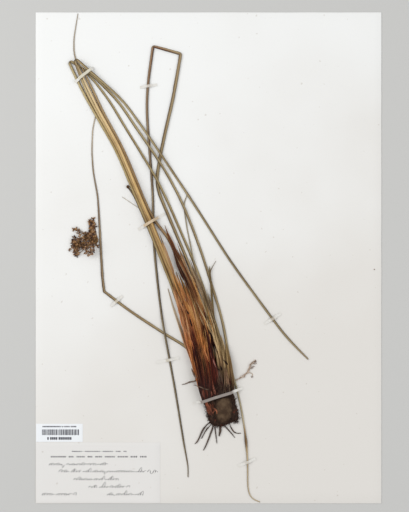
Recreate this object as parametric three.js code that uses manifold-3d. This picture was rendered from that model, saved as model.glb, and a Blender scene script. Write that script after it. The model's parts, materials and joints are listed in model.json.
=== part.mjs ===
// A pressed soft rush on its herbarium sheet: a tufted plant with its root crown, soil and roots, eight
// culms of which three are folded back to fit the paper, the papery sheaths round their bases, one small
// seed head, eight gummed linen straps, a paper label and a catalogue slip.
//
// Millimetres. +X is the sheet's right, +Y its top, +Z up off the paper. Routes and outlines are read from
// the sheet's lower left corner, and the whole group is then centred on the middle of the sheet's back.
import * as THREE from "three";
import { mergeVertices } from "three/addons/utils/BufferGeometryUtils.js";
import Module from "manifold-3d";

const wasm = await Module();
wasm.setup();

// Driving dimensions
const SHEET = { width: 293, height: 416, thickness: 0.4 };
const LABEL = { left: 0.5, bottom: 0.5, width: 105, height: 51.3, thickness: 0.15 };
const SLIP = { left: 0.5, bottom: 52.2, width: 39.5, height: 15.4, thickness: 0.12 };
const PASTE_GAP = 0.06;
const REST_GAP = 0.3;
const CULM_FLATNESS = 0.5;
const SHEATH_THICKNESS = 0.4;
const STRAP_WIDTH = 2.6;
const STRAP_THICKNESS = 0.25;
const CREASE_RADIUS = 1.35;

// How a piece is laid down: the spacing of its samples along it and across it, how far it bends over what
// it crosses, and how finely its curves are cut
const SAMPLE_STEP = 0.7;
const CULM_REACH = 9;
const SHEATH_REACH = 5;
const STRAP_REACH = 1.6;
const ROOT_REACH = 2;
const SIMPLIFY = 0.12;
const ARC_STEP = 0.3;
const STRAIGHT = 1e-3;
const PROBES_EACH_SIDE = 5;
const THINNEST = 0.4;

const CULM_SIDES = 6;
const FINE_SIDES = 5;
const BAND_SIDES = 4;

// Colours of the dried plant and of the paper
const COLOUR = {
  paper: "#eeeeea",
  label: "#e9eaec",
  slip: "#f6f7f8",
  linen: "#dedbd3",
  gold: "#b8964f",
  olive: "#7f7650",
  tan: "#a58f5c",
  brown: "#6d5738",
  dark: "#43352a",
  rust: "#9a5d35",
  pink: "#a87a68",
  cream: "#cdb994",
  purple: "#3a1f22",
  red: "#5b2a22",
  soil: "#5a4f3b",
  root: "#3b302a",
  capsule: "#5f3c1e",
};

// The surface that the next piece comes to lie on, as a grid of heights over the sheet
const CELL = 0.5;
const COLUMNS = Math.ceil(SHEET.width / CELL) + 1;
const ROWS = Math.ceil(SHEET.height / CELL) + 1;
const ground = new Float32Array(COLUMNS * ROWS).fill(SHEET.thickness);

const clampTo = (value, top) => Math.min(Math.max(value, 0), top);

function groundAt(x, y) {
  const i = clampTo(Math.floor(x / CELL), COLUMNS - 2);
  const j = clampTo(Math.floor(y / CELL), ROWS - 2);
  const at = j * COLUMNS + i;
  return Math.max(ground[at], ground[at + 1], ground[at + COLUMNS], ground[at + COLUMNS + 1]);
}

function raiseGround(x, y, z) {
  const i = clampTo(Math.round(x / CELL), COLUMNS - 1);
  const j = clampTo(Math.round(y / CELL), ROWS - 1);
  ground[j * COLUMNS + i] = Math.max(ground[j * COLUMNS + i], z);
}

// The value at a fraction of the way along a list of [fraction, value] stops
function blend(stops, fraction) {
  for (let k = 1; k < stops.length; k++) {
    const [from, low] = stops[k - 1];
    const [to, high] = stops[k];
    if (fraction <= to) return low + ((high - low) * (fraction - from)) / (to - from);
  }
  return stops[stops.length - 1][1];
}

// A route of [x, y] points with its corners rounded: a plain one over half of its shorter side, and a
// crease, given by its place in the list, to a bend just wider than the culm
function roundedRoute(route, creases) {
  const points = route.map(([x, y]) => new THREE.Vector2(x, y));
  const path = [points[0]];
  for (let i = 1; i < points.length - 1; i++) {
    const before = points[i].clone().sub(points[i - 1]);
    const after = points[i + 1].clone().sub(points[i]);
    const into = before.clone().normalize();
    const out = after.clone().normalize();
    const turn = Math.acos(THREE.MathUtils.clamp(into.dot(out), -1, 1));
    if (turn < STRAIGHT) {
      path.push(points[i]);
      continue;
    }
    const half = Math.tan(turn / 2);
    const shorter = Math.min(before.length(), after.length());
    const trim = creases.includes(i) ? CREASE_RADIUS * half : shorter / 2;
    const start = points[i].clone().addScaledVector(into, -trim);
    const left = Math.sign(into.cross(out));
    const inward = new THREE.Vector2(-into.y, into.x).multiplyScalar(left);
    const centre = start.clone().addScaledVector(inward, trim / half);
    const steps = Math.max(2, Math.ceil(turn / ARC_STEP));
    for (let k = 0; k <= steps; k++)
      path.push(start.clone().rotateAround(centre, (left * turn * k) / steps));
  }
  path.push(points[points.length - 1]);
  return path;
}

// The same path at even steps
function resample(path, step) {
  const lengths = [0];
  for (let i = 1; i < path.length; i++) lengths.push(lengths[i - 1] + path[i].distanceTo(path[i - 1]));
  const total = lengths[lengths.length - 1];
  const count = Math.max(3, Math.ceil(total / step));
  const points = [];
  let k = 1;
  for (let i = 0; i <= count; i++) {
    const along = (total * i) / count;
    while (k < path.length - 1 && lengths[k] < along) k++;
    const span = lengths[k] - lengths[k - 1] || 1;
    points.push(path[k - 1].clone().lerp(path[k], (along - lengths[k - 1]) / span));
  }
  return points;
}

// Heights eased so that a stiff piece rises and falls gently, and never below what it needs
function easedHeights(heights, window) {
  const over = (values, read) =>
    values.map((_, i) => read(values.slice(Math.max(0, i - window), i + window + 1)));
  const widened = over(heights, (near) => near.reduce((most, z) => Math.max(most, z), 0));
  return over(widened, (near) => near.reduce((sum, z) => sum + z, 0) / near.length);
}

// The samples that a path needs to stay within a tolerance of its shape
function keptSamples(samples, tolerance) {
  const kept = new Set([0, samples.length - 1]);
  const spans = [[0, samples.length - 1]];
  while (spans.length) {
    const [from, to] = spans.pop();
    const line = new THREE.Line3(samples[from].point, samples[to].point);
    const nearest = new THREE.Vector3();
    let worst = tolerance;
    let at = -1;
    for (let i = from + 1; i < to; i++) {
      const { point, halfWidth } = samples[i];
      const part = (i - from) / (to - from);
      const flat = THREE.MathUtils.lerp(samples[from].halfWidth, samples[to].halfWidth, part);
      const away = line.closestPointToPoint(point, true, nearest).distanceTo(point);
      const off = Math.max(away, Math.abs(flat - halfWidth));
      if (off > worst) [worst, at] = [off, i];
    }
    if (at > 0) {
      kept.add(at);
      spans.push([from, at], [at, to]);
    }
  }
  return samples.filter((_, i) => kept.has(i));
}

// The samples of a piece at the heights where it comes to rest, a gap above what is already there
function restingSamples({ route, creases = [], widths, thickness, flatness = CULM_FLATNESS, reach }) {
  const path = resample(roundedRoute(route, creases), SAMPLE_STEP);
  const last = path.length - 1;
  const samples = path.map((place, i) => {
    const along = path[Math.min(i + 1, last)].clone().sub(path[Math.max(i - 1, 0)]).normalize();
    const halfWidth = blend(widths, i / last) / 2;
    const halfThickness = thickness ? thickness / 2 : Math.max(halfWidth * flatness, THINNEST / 2);
    return { place, side: new THREE.Vector3(along.y, -along.x, 0), halfWidth, halfThickness };
  });
  const under = samples.map(({ place, side, halfWidth, halfThickness }) => {
    let needed = 0;
    for (let k = -PROBES_EACH_SIDE; k <= PROBES_EACH_SIDE; k++) {
      const across = (k / PROBES_EACH_SIDE) * (halfWidth + CELL / 2);
      const belly = halfThickness * Math.sqrt(Math.max(0, 1 - (across / halfWidth) ** 2));
      const below = groundAt(place.x + side.x * across, place.y + side.y * across);
      needed = Math.max(needed, below + REST_GAP + belly);
    }
    return needed;
  });
  const heights = easedHeights(under, Math.round(reach / SAMPLE_STEP));
  return samples.map((sample, i) => ({
    ...sample,
    point: new THREE.Vector3(sample.place.x, sample.place.y, heights[i]),
  }));
}

// Makes a laid piece part of the ground for the pieces after it
function becomeGround(samples) {
  for (const { point, side, halfWidth, halfThickness } of samples)
    for (let across = -halfWidth; across <= halfWidth + 0.01; across += CELL / 3) {
      const crown = halfThickness * Math.sqrt(Math.max(0, 1 - (across / halfWidth) ** 2));
      raiseGround(point.x + side.x * across, point.y + side.y * across, point.z + crown);
    }
}

function lay(piece) {
  const samples = restingSamples(piece);
  becomeGround(samples);
  return keptSamples(samples, SIMPLIFY);
}

// Tubes of pieces that grew together, so none of them lies on another
function layTogether(pieces, sides) {
  const laid = pieces.map(restingSamples);
  laid.forEach(becomeGround);
  return laid.map((samples) => sweep(keptSamples(samples, SIMPLIFY), sides));
}

// A closed tube bent along laid samples, its section as wide and as thick as each sample says
function sweep(samples, sides) {
  const rows = samples.length - 1;
  const corner = sides === BAND_SIDES ? Math.SQRT2 : 1;
  const straight = new THREE.CylinderGeometry(1, 1, 1, sides, rows, false, Math.PI / sides);
  const tube = positionsOnly(straight);
  const at = tube.getAttribute("position");
  for (let i = 0; i < at.count; i++) {
    const row = Math.round((0.5 - at.getY(i)) * rows);
    const { point, side, halfWidth, halfThickness } = samples[rows - row];
    const next = samples[Math.min(rows - row + 1, rows)].point;
    const previous = samples[Math.max(rows - row - 1, 0)].point;
    const along = next.clone().sub(previous).normalize();
    const up = side.clone().cross(along);
    const moved = point
      .clone()
      .addScaledVector(side, at.getX(i) * halfWidth * corner)
      .addScaledVector(up, at.getZ(i) * halfThickness * corner);
    at.setXYZ(i, moved.x, moved.y, moved.z);
  }
  return tube;
}

function positionsOnly(geometry) {
  geometry.deleteAttribute("normal");
  geometry.deleteAttribute("uv");
  return mergeVertices(geometry, 1e-5);
}

const solidOf = (geometry) =>
  new wasm.Manifold(
    new wasm.Mesh({
      numProp: 3,
      vertProperties: geometry.getAttribute("position").array,
      triVerts: new Uint32Array(geometry.index.array),
    }),
  );

function geometryOf(solid) {
  const { vertProperties, triVerts } = solid.getMesh();
  const geometry = new THREE.BufferGeometry();
  geometry.setAttribute("position", new THREE.BufferAttribute(vertProperties, 3));
  geometry.setIndex(new THREE.BufferAttribute(triVerts, 1));
  return geometry;
}

const joined = (geometries) =>
  geometryOf(geometries.map(solidOf).reduce((whole, part) => whole.add(part)));

// The herbarium sheet and everything on it
const specimen = new THREE.Group();
specimen.position.set(-SHEET.width / 2, -SHEET.height / 2, 0);

function addPiece(name, geometry, colour, roughness = 0.85) {
  const shown = geometry.toNonIndexed();
  shown.computeVertexNormals();
  const material = new THREE.MeshStandardMaterial({ color: colour, roughness, metalness: 0 });
  const piece = new THREE.Mesh(shown, material);
  piece.name = name;
  specimen.add(piece);
}

function paperPiece({ left, bottom, width, height, thickness }, base) {
  const box = new THREE.BoxGeometry(width, height, thickness);
  box.translate(left + width / 2, bottom + height / 2, base + thickness / 2);
  for (let x = left; x <= left + width; x += CELL)
    for (let y = bottom; y <= bottom + height; y += CELL) raiseGround(x, y, base + thickness);
  return box;
}

addPiece("mounting_sheet", paperPiece({ left: 0, bottom: 0, ...SHEET }, 0), COLOUR.paper, 0.9);
addPiece("collection_label", paperPiece(LABEL, SHEET.thickness + PASTE_GAP), COLOUR.label, 0.9);
addPiece("catalogue_slip", paperPiece(SLIP, SHEET.thickness + PASTE_GAP), COLOUR.slip, 0.7);

// Roots lie straight on the sheet and grow out of the crown
const ROOTS = [
  { route: [[150, 71], [146.7, 68.3], [142.6, 64.4], [139, 56.7], [137.4, 52.6], [134.9, 50.5]], width: 1.3 },
  { route: [[151, 70], [148.4, 66.6], [145.1, 63.4], [142.4, 58.7], [140.6, 55.1]], width: 0.8 },
  { route: [[151, 69], [150, 63.8], [146.2, 53.6], [144.1, 48.5], [142.1, 45.1]], width: 1.2 },
  { route: [[152, 69], [151.8, 64.4], [152.8, 58.7], [153.6, 51]], width: 0.9 },
  { route: [[156.6, 69], [156.6, 61.5], [155.4, 57.2]], width: 2 },
  { route: [[158, 69], [161, 64.9], [166.7, 58.7], [168.7, 55.9]], width: 1 },
  { route: [[164, 70.5], [165, 64.8], [168.2, 60.3], [171.5, 59.3], [174.2, 59.7]], width: 0.9 },
];
const thinGrowth = (route, width) => ({
  route,
  widths: [[0, width], [0.6, width * 0.85], [1, width * 0.4]],
  flatness: 0.7,
  reach: ROOT_REACH,
});
const rootTubes = layTogether(ROOTS.map(({ route, width }) => thinGrowth(route, width)), FINE_SIDES);

// The root crown and the soil on it are lumps with a plan outline, a flat foot and a domed top
const CROWN = {
  centre: [156, 85],
  outline: [
    [167, 98], [166, 105], [153, 107.5], [139.5, 105], [139.5, 96], [139.7, 90], [142.6, 84.9], [144.6, 79.2],
    [145.6, 75.1], [146.7, 70], [150.3, 65.9], [155.9, 64.9], [160.5, 65.4], [164.6, 68.6], [170.4, 68.6],
    [172.6, 72.1], [171.3, 79.2], [169.2, 85.4], [168.2, 91],
  ],
  foot: SHEET.thickness + REST_GAP,
  top: (x, y) => blend([[65, 3.6], [74, 4.9], [87, 4.6], [97, 3.2], [108, 1.5]], y),
  lobe: 0.35,
};
const SOIL = {
  centre: [159.5, 79],
  outline: [
    [151, 89.5], [150.4, 82], [150.8, 75], [152.4, 69.6], [156, 67], [160.5, 67], [164.4, 69.8], [167, 74],
    [168.2, 80], [167.4, 87], [165.8, 92.5], [158, 91],
  ],
  foot: SHEET.thickness + REST_GAP,
  top: (x, y) => 6.7 - 0.03 * Math.hypot(x - 159, y - 78) + 0.3 * Math.sin(x * 0.9) * Math.sin(y * 0.7),
  lobe: 0.15,
};

// How far an outline reaches from its centre in a direction
function outlineReach({ centre, outline }, direction) {
  const [cx, cy] = centre;
  const ray = new THREE.Vector2(Math.cos(direction), Math.sin(direction));
  let reach = 0;
  outline.forEach(([x, y], i) => {
    const [nextX, nextY] = outline[(i + 1) % outline.length];
    const from = new THREE.Vector2(x - cx, y - cy);
    const edge = new THREE.Vector2(nextX - x, nextY - y);
    const across = ray.cross(edge);
    if (Math.abs(across) < 1e-9) return;
    const along = from.cross(edge) / across;
    const part = from.cross(ray) / across;
    if (along > 0 && part >= -1e-9 && part <= 1 + 1e-9) reach = Math.max(reach, along);
  });
  return reach;
}

function lump(form, segments, rings, swell = 0) {
  const ball = positionsOnly(new THREE.SphereGeometry(1, segments, rings));
  ball.rotateX(Math.PI / 2);
  const at = ball.getAttribute("position");
  for (let i = 0; i < at.count; i++) {
    const direction = Math.atan2(at.getY(i), at.getX(i));
    const reach = (outlineReach(form, direction) + swell) * Math.hypot(at.getX(i), at.getY(i));
    const x = form.centre[0] + reach * Math.cos(direction);
    const y = form.centre[1] + reach * Math.sin(direction);
    const rise = at.getZ(i) > 1e-6 ? (form.top(x, y) + swell) * at.getZ(i) ** (2 * form.lobe) : 0;
    at.setXYZ(i, x, y, form.foot + rise);
  }
  return ball;
}

function coverGround(form) {
  const xs = form.outline.map(([x]) => x);
  const ys = form.outline.map(([, y]) => y);
  for (let x = Math.min(...xs); x <= Math.max(...xs); x += CELL)
    for (let y = Math.min(...ys); y <= Math.max(...ys); y += CELL) {
      const direction = Math.atan2(y - form.centre[1], x - form.centre[0]);
      const share = Math.hypot(x - form.centre[0], y - form.centre[1]) / outlineReach(form, direction);
      if (share < 1) raiseGround(x, y, form.foot + form.top(x, y) * (1 - share ** 2) ** form.lobe);
    }
}

addPiece("root_crown", joined([lump(CROWN, 26, 8), ...rootTubes]), COLOUR.root, 0.95);
const soilOverCrown = solidOf(lump(SOIL, 20, 6)).subtract(solidOf(lump(CROWN, 26, 8, REST_GAP)));
addPiece("soil_clod", geometryOf(soilOverCrown), COLOUR.soil, 0.98);
coverGround(CROWN);
coverGround(SOIL);

// Culms, the round leafless stems, from base to tip
function addCulm(name, piece, colour) {
  addPiece(name, sweep(lay({ reach: CULM_REACH, ...piece }), CULM_SIDES), colour);
}

const FLOWERING_CULM = {
  route: [
    [141, 108], [134, 126], [127, 133.2], [111.5, 142.4], [97, 151.9], [80, 163], [58.2, 179.6],
    [56.8, 190], [55.4, 214], [54, 240], [52.7, 262], [49, 279], [47.6, 300], [48.6, 318], [51, 329],
  ],
  creases: [6],
  widths: [[0, 2.3], [0.42, 2.2], [0.62, 1.9], [0.68, 1.4], [1, 0.8]],
};
addCulm("culm_flowering", FLOWERING_CULM, COLOUR.brown);

// The seed head: each branch of the panicle is an axis with a star of capsules grown at every turn of it
const CAPSULE = { length: 3.5, notch: 2.1, thickness: 1.3 };
const CAPSULES_PER_STAR = 5;
const GOLDEN_ANGLE = 2.4;
const BRANCH_WIDTH = 0.8;
const PANICLE_BRANCHES = {
  upper: [[52.9, 224], [47.6, 226.6], [47, 231], [48.2, 235.2], [47, 239]],
  middle: [[52.8, 222.8], [47, 222.8], [42, 221.4], [37, 222.2], [33.4, 225], [33, 220.4]],
  lower: [[52.8, 221.6], [46, 218.2], [40.6, 217.2], [35, 217], [35, 212.4]],
  inner: [[53, 220.6], [49.4, 217.4], [48.6, 213.6], [44.8, 211.8]],
  outer: [[42.4, 226], [38.4, 226.4], [35.8, 231.2]],
};

// Capsules that spread flat from one point, as the lobes of one closed star
function capsuleStar(centre, phase) {
  const segments = 2 * CAPSULES_PER_STAR;
  const star = positionsOnly(new THREE.SphereGeometry(1, segments, 4));
  star.rotateX(Math.PI / 2);
  const at = star.getAttribute("position");
  for (let i = 0; i < at.count; i++) {
    const heading = Math.atan2(at.getY(i), at.getX(i));
    const segment = Math.round((heading * segments) / (2 * Math.PI)) + segments;
    const length = CAPSULE.length * (0.85 + 0.15 * Math.sin(phase + 2 * segment));
    const reach = segment % 2 ? CAPSULE.notch : length;
    at.setXYZ(i, at.getX(i) * reach, at.getY(i) * reach, (at.getZ(i) * CAPSULE.thickness) / 2);
  }
  star.rotateZ(phase);
  return star.translate(centre.x, centre.y, centre.z);
}

function panicleBranch(route) {
  const spread = 2 * CAPSULE.length * 0.9;
  const widths = [[0, BRANCH_WIDTH], [0.2, spread], [1, spread]];
  const bed = restingSamples({ route, widths, thickness: CAPSULE.thickness, reach: ROOT_REACH });
  becomeGround(bed);
  const core = { halfWidth: BRANCH_WIDTH / 2, halfThickness: BRANCH_WIDTH / 3 };
  const axis = bed.map((sample) => ({ ...sample, ...core }));
  const stars = route.slice(1).map(([x, y], k) => {
    const away = ({ point }) => Math.hypot(point.x - x, point.y - y);
    const nearest = axis.reduce((best, sample) => (away(sample) < away(best) ? sample : best));
    return capsuleStar(nearest.point, k * GOLDEN_ANGLE);
  });
  return joined([sweep(keptSamples(axis, SIMPLIFY), FINE_SIDES), ...stars]);
}

for (const [place, route] of Object.entries(PANICLE_BRANCHES))
  addPiece("panicle_branch_" + place, panicleBranch(route), COLOUR.capsule);

addCulm("culm_twice_folded", {
  route: [
    [158, 104], [154, 118], [149, 135], [144, 152], [139.5, 168], [132.7, 195.8], [126.4, 210.8],
    [116.5, 234.4], [109, 252.3], [104, 264], [102.7, 275], [104.9, 290.6], [109.5, 313.2], [116, 340],
    [123, 380.6],
    [99.6, 387.2], [96.2, 363.6], [94.2, 342], [94.8, 321.3], [97.7, 287], [99.8, 255.4], [99.8, 223.5],
    [102.7, 193.4], [106.9, 157.7], [112.1, 130], [118.8, 93.6], [125.6, 51], [129.3, 31], [129.2, 22.4],
  ],
  creases: [14, 15],
  widths: [[0, 2.2], [0.2, 2.5], [0.4, 2.8], [0.5, 2.2], [0.75, 1.9], [0.95, 1.5], [1, 0.7]],
}, COLOUR.dark);

addCulm("culm_long_tip", {
  route: [
    [162, 104], [160, 118], [157, 132], [149, 160], [142, 184], [131, 211.9], [119.4, 238.5], [110.8, 258.1],
    [103.5, 273], [89.4, 297], [75.3, 319.5], [62.3, 341.7], [48, 360], [33, 374.6], [32.4, 392],
    [34, 403], [36, 414.8],
  ],
  widths: [[0, 2.2], [0.3, 2.1], [0.8, 1.9], [0.87, 1.2], [1, 0.6]],
}, COLOUR.olive);

addPiece("thin_blade", sweep(lay({
  route: [
    [134.4, 203], [131.8, 216.5], [128.1, 233.8], [125.8, 250], [126.1, 255.6], [128.4, 261], [127.9, 263.8],
  ],
  widths: [[0, 1.1], [0.9, 0.9], [1, 0.4]],
  reach: SHEATH_REACH,
}), FINE_SIDES), COLOUR.tan);

addPiece("hair_fibre", sweep(lay({
  route: [[73.5, 259.6], [81, 254.6], [90.5, 248]],
  widths: [[0, 0.4], [1, 0.6]],
  reach: ROOT_REACH,
}), FINE_SIDES), COLOUR.cream);

// The bundle of culms on the left, the bud stub under its edge first and the gold culm on top
const BUD = { place: [78.4, 268.2], width: 2.8, thickness: 1.7, lift: 0.3 };
const stubSamples = lay({
  route: [[107, 205], [101.4, 219], [92.5, 240.4], [84.6, 259], [78.8, 267.6]],
  widths: [[0, 1.8], [0.8, 1.8], [1, 1.2]],
  reach: CULM_REACH,
});
const bud = positionsOnly(new THREE.IcosahedronGeometry(1, 1));
bud.scale(BUD.width / 2, BUD.width / 2, BUD.thickness / 2);
bud.translate(...BUD.place, stubSamples[stubSamples.length - 1].point.z + BUD.lift);
addPiece("culm_bud_stub", joined([sweep(stubSamples, CULM_SIDES), bud]), COLOUR.dark);

addCulm("culm_olive_folded", {
  route: [
    [143, 100], [136, 122], [128.5, 145], [121.3, 167], [114.6, 187], [108.2, 203], [101.8, 219], [96.2, 235],
    [89.2, 250], [80.7, 270], [68.3, 300], [50.6, 330], [39.4, 350], [27.2, 376.2],
    [46.8, 363.6], [56.7, 354.4], [71.5, 338.9], [85.1, 318.1], [106.3, 287.8], [120.6, 262.7],
    [131.5, 237.3], [141.2, 211], [150.8, 179.6], [158.3, 155.4], [162.6, 130.6], [166.3, 111], [170.8, 96],
    [174.4, 79.2], [176.8, 65], [178.6, 50], [179.7, 33.1], [179.7, 13], [182.4, 4.6], [190, 1.4],
  ],
  creases: [13],
  widths: [
    [0, 2.4], [0.38, 2.4], [0.44, 2.1], [0.86, 2.1], [0.913, 1.9], [0.922, 3], [0.931, 2.4], [0.94, 1.6],
    [1, 1.1],
  ],
}, COLOUR.olive);

addCulm("culm_brown", {
  route: [
    [151, 103], [145, 133], [136, 163], [126.4, 191.1], [118.6, 211], [113.6, 222.6], [107.5, 231.4],
    [101.2, 239], [95.1, 250], [86.7, 270], [74.6, 300], [57.7, 330], [48.6, 350], [44, 359], [39.5, 369],
  ],
  widths: [[0, 2.2], [0.5, 2.4], [0.9, 2.3], [1, 1.6]],
}, COLOUR.brown);

addCulm("culm_tan_folded", {
  route: [
    [146, 100], [139, 122], [131.5, 145], [124, 167], [117.2, 187], [110.6, 203], [104, 219], [98.2, 235],
    [91.1, 250], [82.7, 270], [70.4, 300], [52.9, 330], [42.5, 350], [32, 378.4],
    [47.2, 365], [65.1, 349.5], [76.4, 338.2], [96.4, 310.4], [117.6, 278.6], [139.6, 245.4], [160.8, 211.5],
    [175, 191.2], [194.6, 164.6], [212.3, 140.8], [230.8, 122.3],
  ],
  creases: [13],
  widths: [[0, 2.4], [0.4, 2.4], [0.5, 2], [0.97, 1.9], [1, 1.2]],
}, COLOUR.tan);

addCulm("culm_gold", {
  route: [
    [149, 101], [142, 122], [134.5, 145], [127, 167], [119.9, 187], [113.2, 203], [106.3, 219], [99.9, 235],
    [93, 250], [84.6, 270], [72.4, 300], [55.3, 330], [46, 349], [41, 360], [36, 370.5],
  ],
  widths: [[0, 2.4], [0.5, 2.6], [0.9, 2.4], [1, 1.5]],
}, COLOUR.gold);

// Sheaths: thin blades round the culm bases, each from its broad foot to its torn or pointed tip
const bladeWidths = (width) => [[0, width * 0.8], [0.25, width], [0.7, width * 0.7], [1, 0.5]];

const SHEATHS = {
  grey_pink: {
    route: [[138, 98], [134, 113], [128.8, 131], [122.8, 148], [116.7, 166], [112.2, 182]],
    width: 3.2, colour: "pink",
  },
  olive_right: {
    route: [[163, 104], [161, 124], [157.6, 140], [153.4, 154], [148.8, 168], [145, 181]],
    width: 4.6, colour: "olive",
  },
  olive_middle: {
    route: [[158.4, 98], [156.6, 120], [153.4, 138], [149.4, 154], [144.6, 172], [140, 188]],
    width: 6, colour: "olive",
  },
  dark_long: {
    route: [[150.6, 108], [148, 128], [143.6, 148], [137.6, 169], [132.4, 184], [125.6, 199], [118.4, 214],
      [113.6, 223.4], [109.6, 235.6]],
    width: 6.2, colour: "red",
  },
  rust_broad: {
    route: [[143, 90], [136.2, 115], [131, 135], [126.2, 152], [122, 166], [116.6, 186]],
    width: 6.4, colour: "rust",
  },
  gold_light: {
    route: [[150.4, 93], [146.8, 118], [142, 140], [137.8, 155], [133.6, 169], [129.6, 184]],
    width: 5.6, colour: "gold",
  },
  rust_brown: {
    route: [[144, 92], [139.8, 117], [134.8, 138], [130.2, 155], [126.2, 170], [121, 191]],
    width: 6, colour: "rust",
  },
  golden_brown: {
    route: [[147, 93], [143.2, 118], [138.6, 139], [134.4, 155], [130.4, 168], [127, 180]],
    width: 5.4, colour: "tan",
  },
  cream_thin: {
    route: [[156.4, 108], [153.6, 130], [150.4, 141], [146.8, 150], [141.8, 160], [132.6, 178]],
    width: 1.8, colour: "cream",
  },
  dark_red: {
    route: [[152.4, 90.5], [151.2, 110], [148.8, 127], [145.6, 141], [142, 153]],
    width: 5, colour: "red",
  },
  red_brown: { route: [[146.8, 89.5], [146.2, 106], [144.6, 121], [142, 134]], width: 5.6, colour: "red" },
  purple_short: {
    route: [[143.2, 88], [139.8, 104], [136.8, 118], [133.6, 139]],
    width: 5.6, colour: "purple",
  },
  brown_right: { route: [[166.6, 95], [166, 108], [164, 122], [161.4, 136]], width: 4.6, colour: "olive" },
  grey_cut: { route: [[157, 91.8], [155.8, 104], [155.6, 115]], width: 6, colour: "purple" },
  pink_right: { route: [[162.6, 93.6], [161.6, 105], [160.6, 117]], width: 4.4, colour: "pink" },
  rust_scale: { route: [[149.8, 75.6], [146.6, 81.6], [143, 91]], width: 5.4, colour: "rust" },
};
for (const [name, { route, width, colour }] of Object.entries(SHEATHS)) {
  const blade = { route, widths: bladeWidths(width), thickness: SHEATH_THICKNESS, reach: SHEATH_REACH };
  addPiece("sheath_" + name, sweep(lay(blade), CULM_SIDES), COLOUR[colour], 0.6);
}

// The forked blade has two tips grown from one foot
const FORK_STEM = [
  [158, 125], [154, 140], [151.5, 152], [149.6, 172], [148.4, 188], [147.5, 196], [147.2, 201],
];
const FORK_TIP = [[148.3, 189], [148, 196], [149.6, 200], [152.9, 205.5]];
const forkBlade = { thickness: SHEATH_THICKNESS, reach: SHEATH_REACH };
const forkedBlade = layTogether([
  { ...forkBlade, route: FORK_STEM, widths: [[0, 3.4], [0.5, 2.4], [0.9, 1.7], [1, 0.5]] },
  { ...forkBlade, route: FORK_TIP, widths: [[0, 1.4], [0.5, 0.9], [1, 0.4]] },
], CULM_SIDES);
addPiece("sheath_forked", joined(forkedBlade), COLOUR.olive, 0.6);

// Small loose growths round the crown
const LOOSE_GROWTHS = {
  spur_left: { routes: [[[136.5, 107.1], [133.8, 110.2], [132.2, 114.4]]], width: 1.6, colour: "dark" },
  rootlet_left: {
    routes: [[[135.6, 104.6], [133.8, 103.7], [129.8, 102.8], [126.7, 101.2], [124, 100.8]]],
    width: 1.2, colour: "root",
  },
  rootlet_over_base: {
    routes: [[[146.4, 97.2], [141.9, 98.5], [138.3, 100.3], [133.8, 100.3]]],
    width: 0.8, colour: "root",
  },
  withered_shoot: {
    routes: [
      [[169.4, 104.4], [173.3, 106.4], [180.2, 112], [181.7, 116.3], [186.8, 118], [187.6, 122.3]],
      [[178.6, 110.4], [184.2, 109.6], [182.6, 107]],
    ],
    width: 1.1, colour: "tan",
  },
};
for (const [name, { routes, width, colour }] of Object.entries(LOOSE_GROWTHS)) {
  const tubes = layTogether(routes.map((route) => thinGrowth(route, width)), FINE_SIDES);
  addPiece(name, joined(tubes), COLOUR[colour]);
}

// Gummed linen straps, drawn tight over what they hold and stuck down at both ends
const STRAPS = {
  top: [[33.6, 356.4], [49.5, 369.1]],
  middle: [[87, 232], [109.5, 245.4]],
  base: [[133.5, 84.6], [175.6, 97.9]],
  fold: [[88.6, 352.3], [103, 354.6]],
  long_tip: [[102.5, 119.4], [122, 123.4]],
  side: [[194, 152.2], [207.6, 160.9]],
  flowering: [[63.6, 166.9], [73.8, 175.9]],
  lower: [[171.8, 31.9], [186.5, 38.2]],
};
for (const [place, [start, end]] of Object.entries(STRAPS)) {
  const middle = start.map((value, axis) => (value + end[axis]) / 2);
  const widths = [[0, STRAP_WIDTH], [1, STRAP_WIDTH]];
  const band = { route: [start, middle, end], widths, thickness: STRAP_THICKNESS, reach: STRAP_REACH };
  addPiece("strap_" + place, sweep(lay(band), BAND_SIDES), COLOUR.linen, 0.8);
}

export default specimen;
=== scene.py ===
"""The looks of a pressed soft rush strapped on its paper sheet.

Stems, sheaths, roots and straps follow the solids of the frame: each solid is read back as a row of
stations, and a finer section is drawn along them. Places that are new here are read in millimetres from
the sheet's lower left corner. Everything else is in metres.
"""

import json
import math
import random

import bmesh
import bpy
import numpy as np
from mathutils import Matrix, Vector, noise
from mathutils.bvhtree import BVHTree

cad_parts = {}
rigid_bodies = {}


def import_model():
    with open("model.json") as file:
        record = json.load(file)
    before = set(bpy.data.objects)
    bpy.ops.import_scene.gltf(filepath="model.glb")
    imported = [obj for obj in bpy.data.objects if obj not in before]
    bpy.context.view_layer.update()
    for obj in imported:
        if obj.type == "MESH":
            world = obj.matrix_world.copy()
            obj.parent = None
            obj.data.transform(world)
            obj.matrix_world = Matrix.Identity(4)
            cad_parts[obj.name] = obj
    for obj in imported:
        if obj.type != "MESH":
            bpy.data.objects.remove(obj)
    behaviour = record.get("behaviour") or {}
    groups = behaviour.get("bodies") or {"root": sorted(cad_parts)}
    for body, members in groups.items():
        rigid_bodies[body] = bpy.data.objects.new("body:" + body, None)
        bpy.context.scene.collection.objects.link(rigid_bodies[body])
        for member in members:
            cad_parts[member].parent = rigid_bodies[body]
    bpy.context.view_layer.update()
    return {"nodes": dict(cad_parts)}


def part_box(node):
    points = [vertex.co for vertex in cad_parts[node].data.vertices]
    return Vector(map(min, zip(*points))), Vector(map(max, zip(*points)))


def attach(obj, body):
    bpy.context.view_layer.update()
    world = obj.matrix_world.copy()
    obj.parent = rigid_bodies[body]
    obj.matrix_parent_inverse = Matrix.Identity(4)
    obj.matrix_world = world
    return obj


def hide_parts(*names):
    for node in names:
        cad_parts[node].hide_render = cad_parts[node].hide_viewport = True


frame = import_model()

MM = 0.001
MERGE = 2e-6
RAY_START = 0.05
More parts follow.
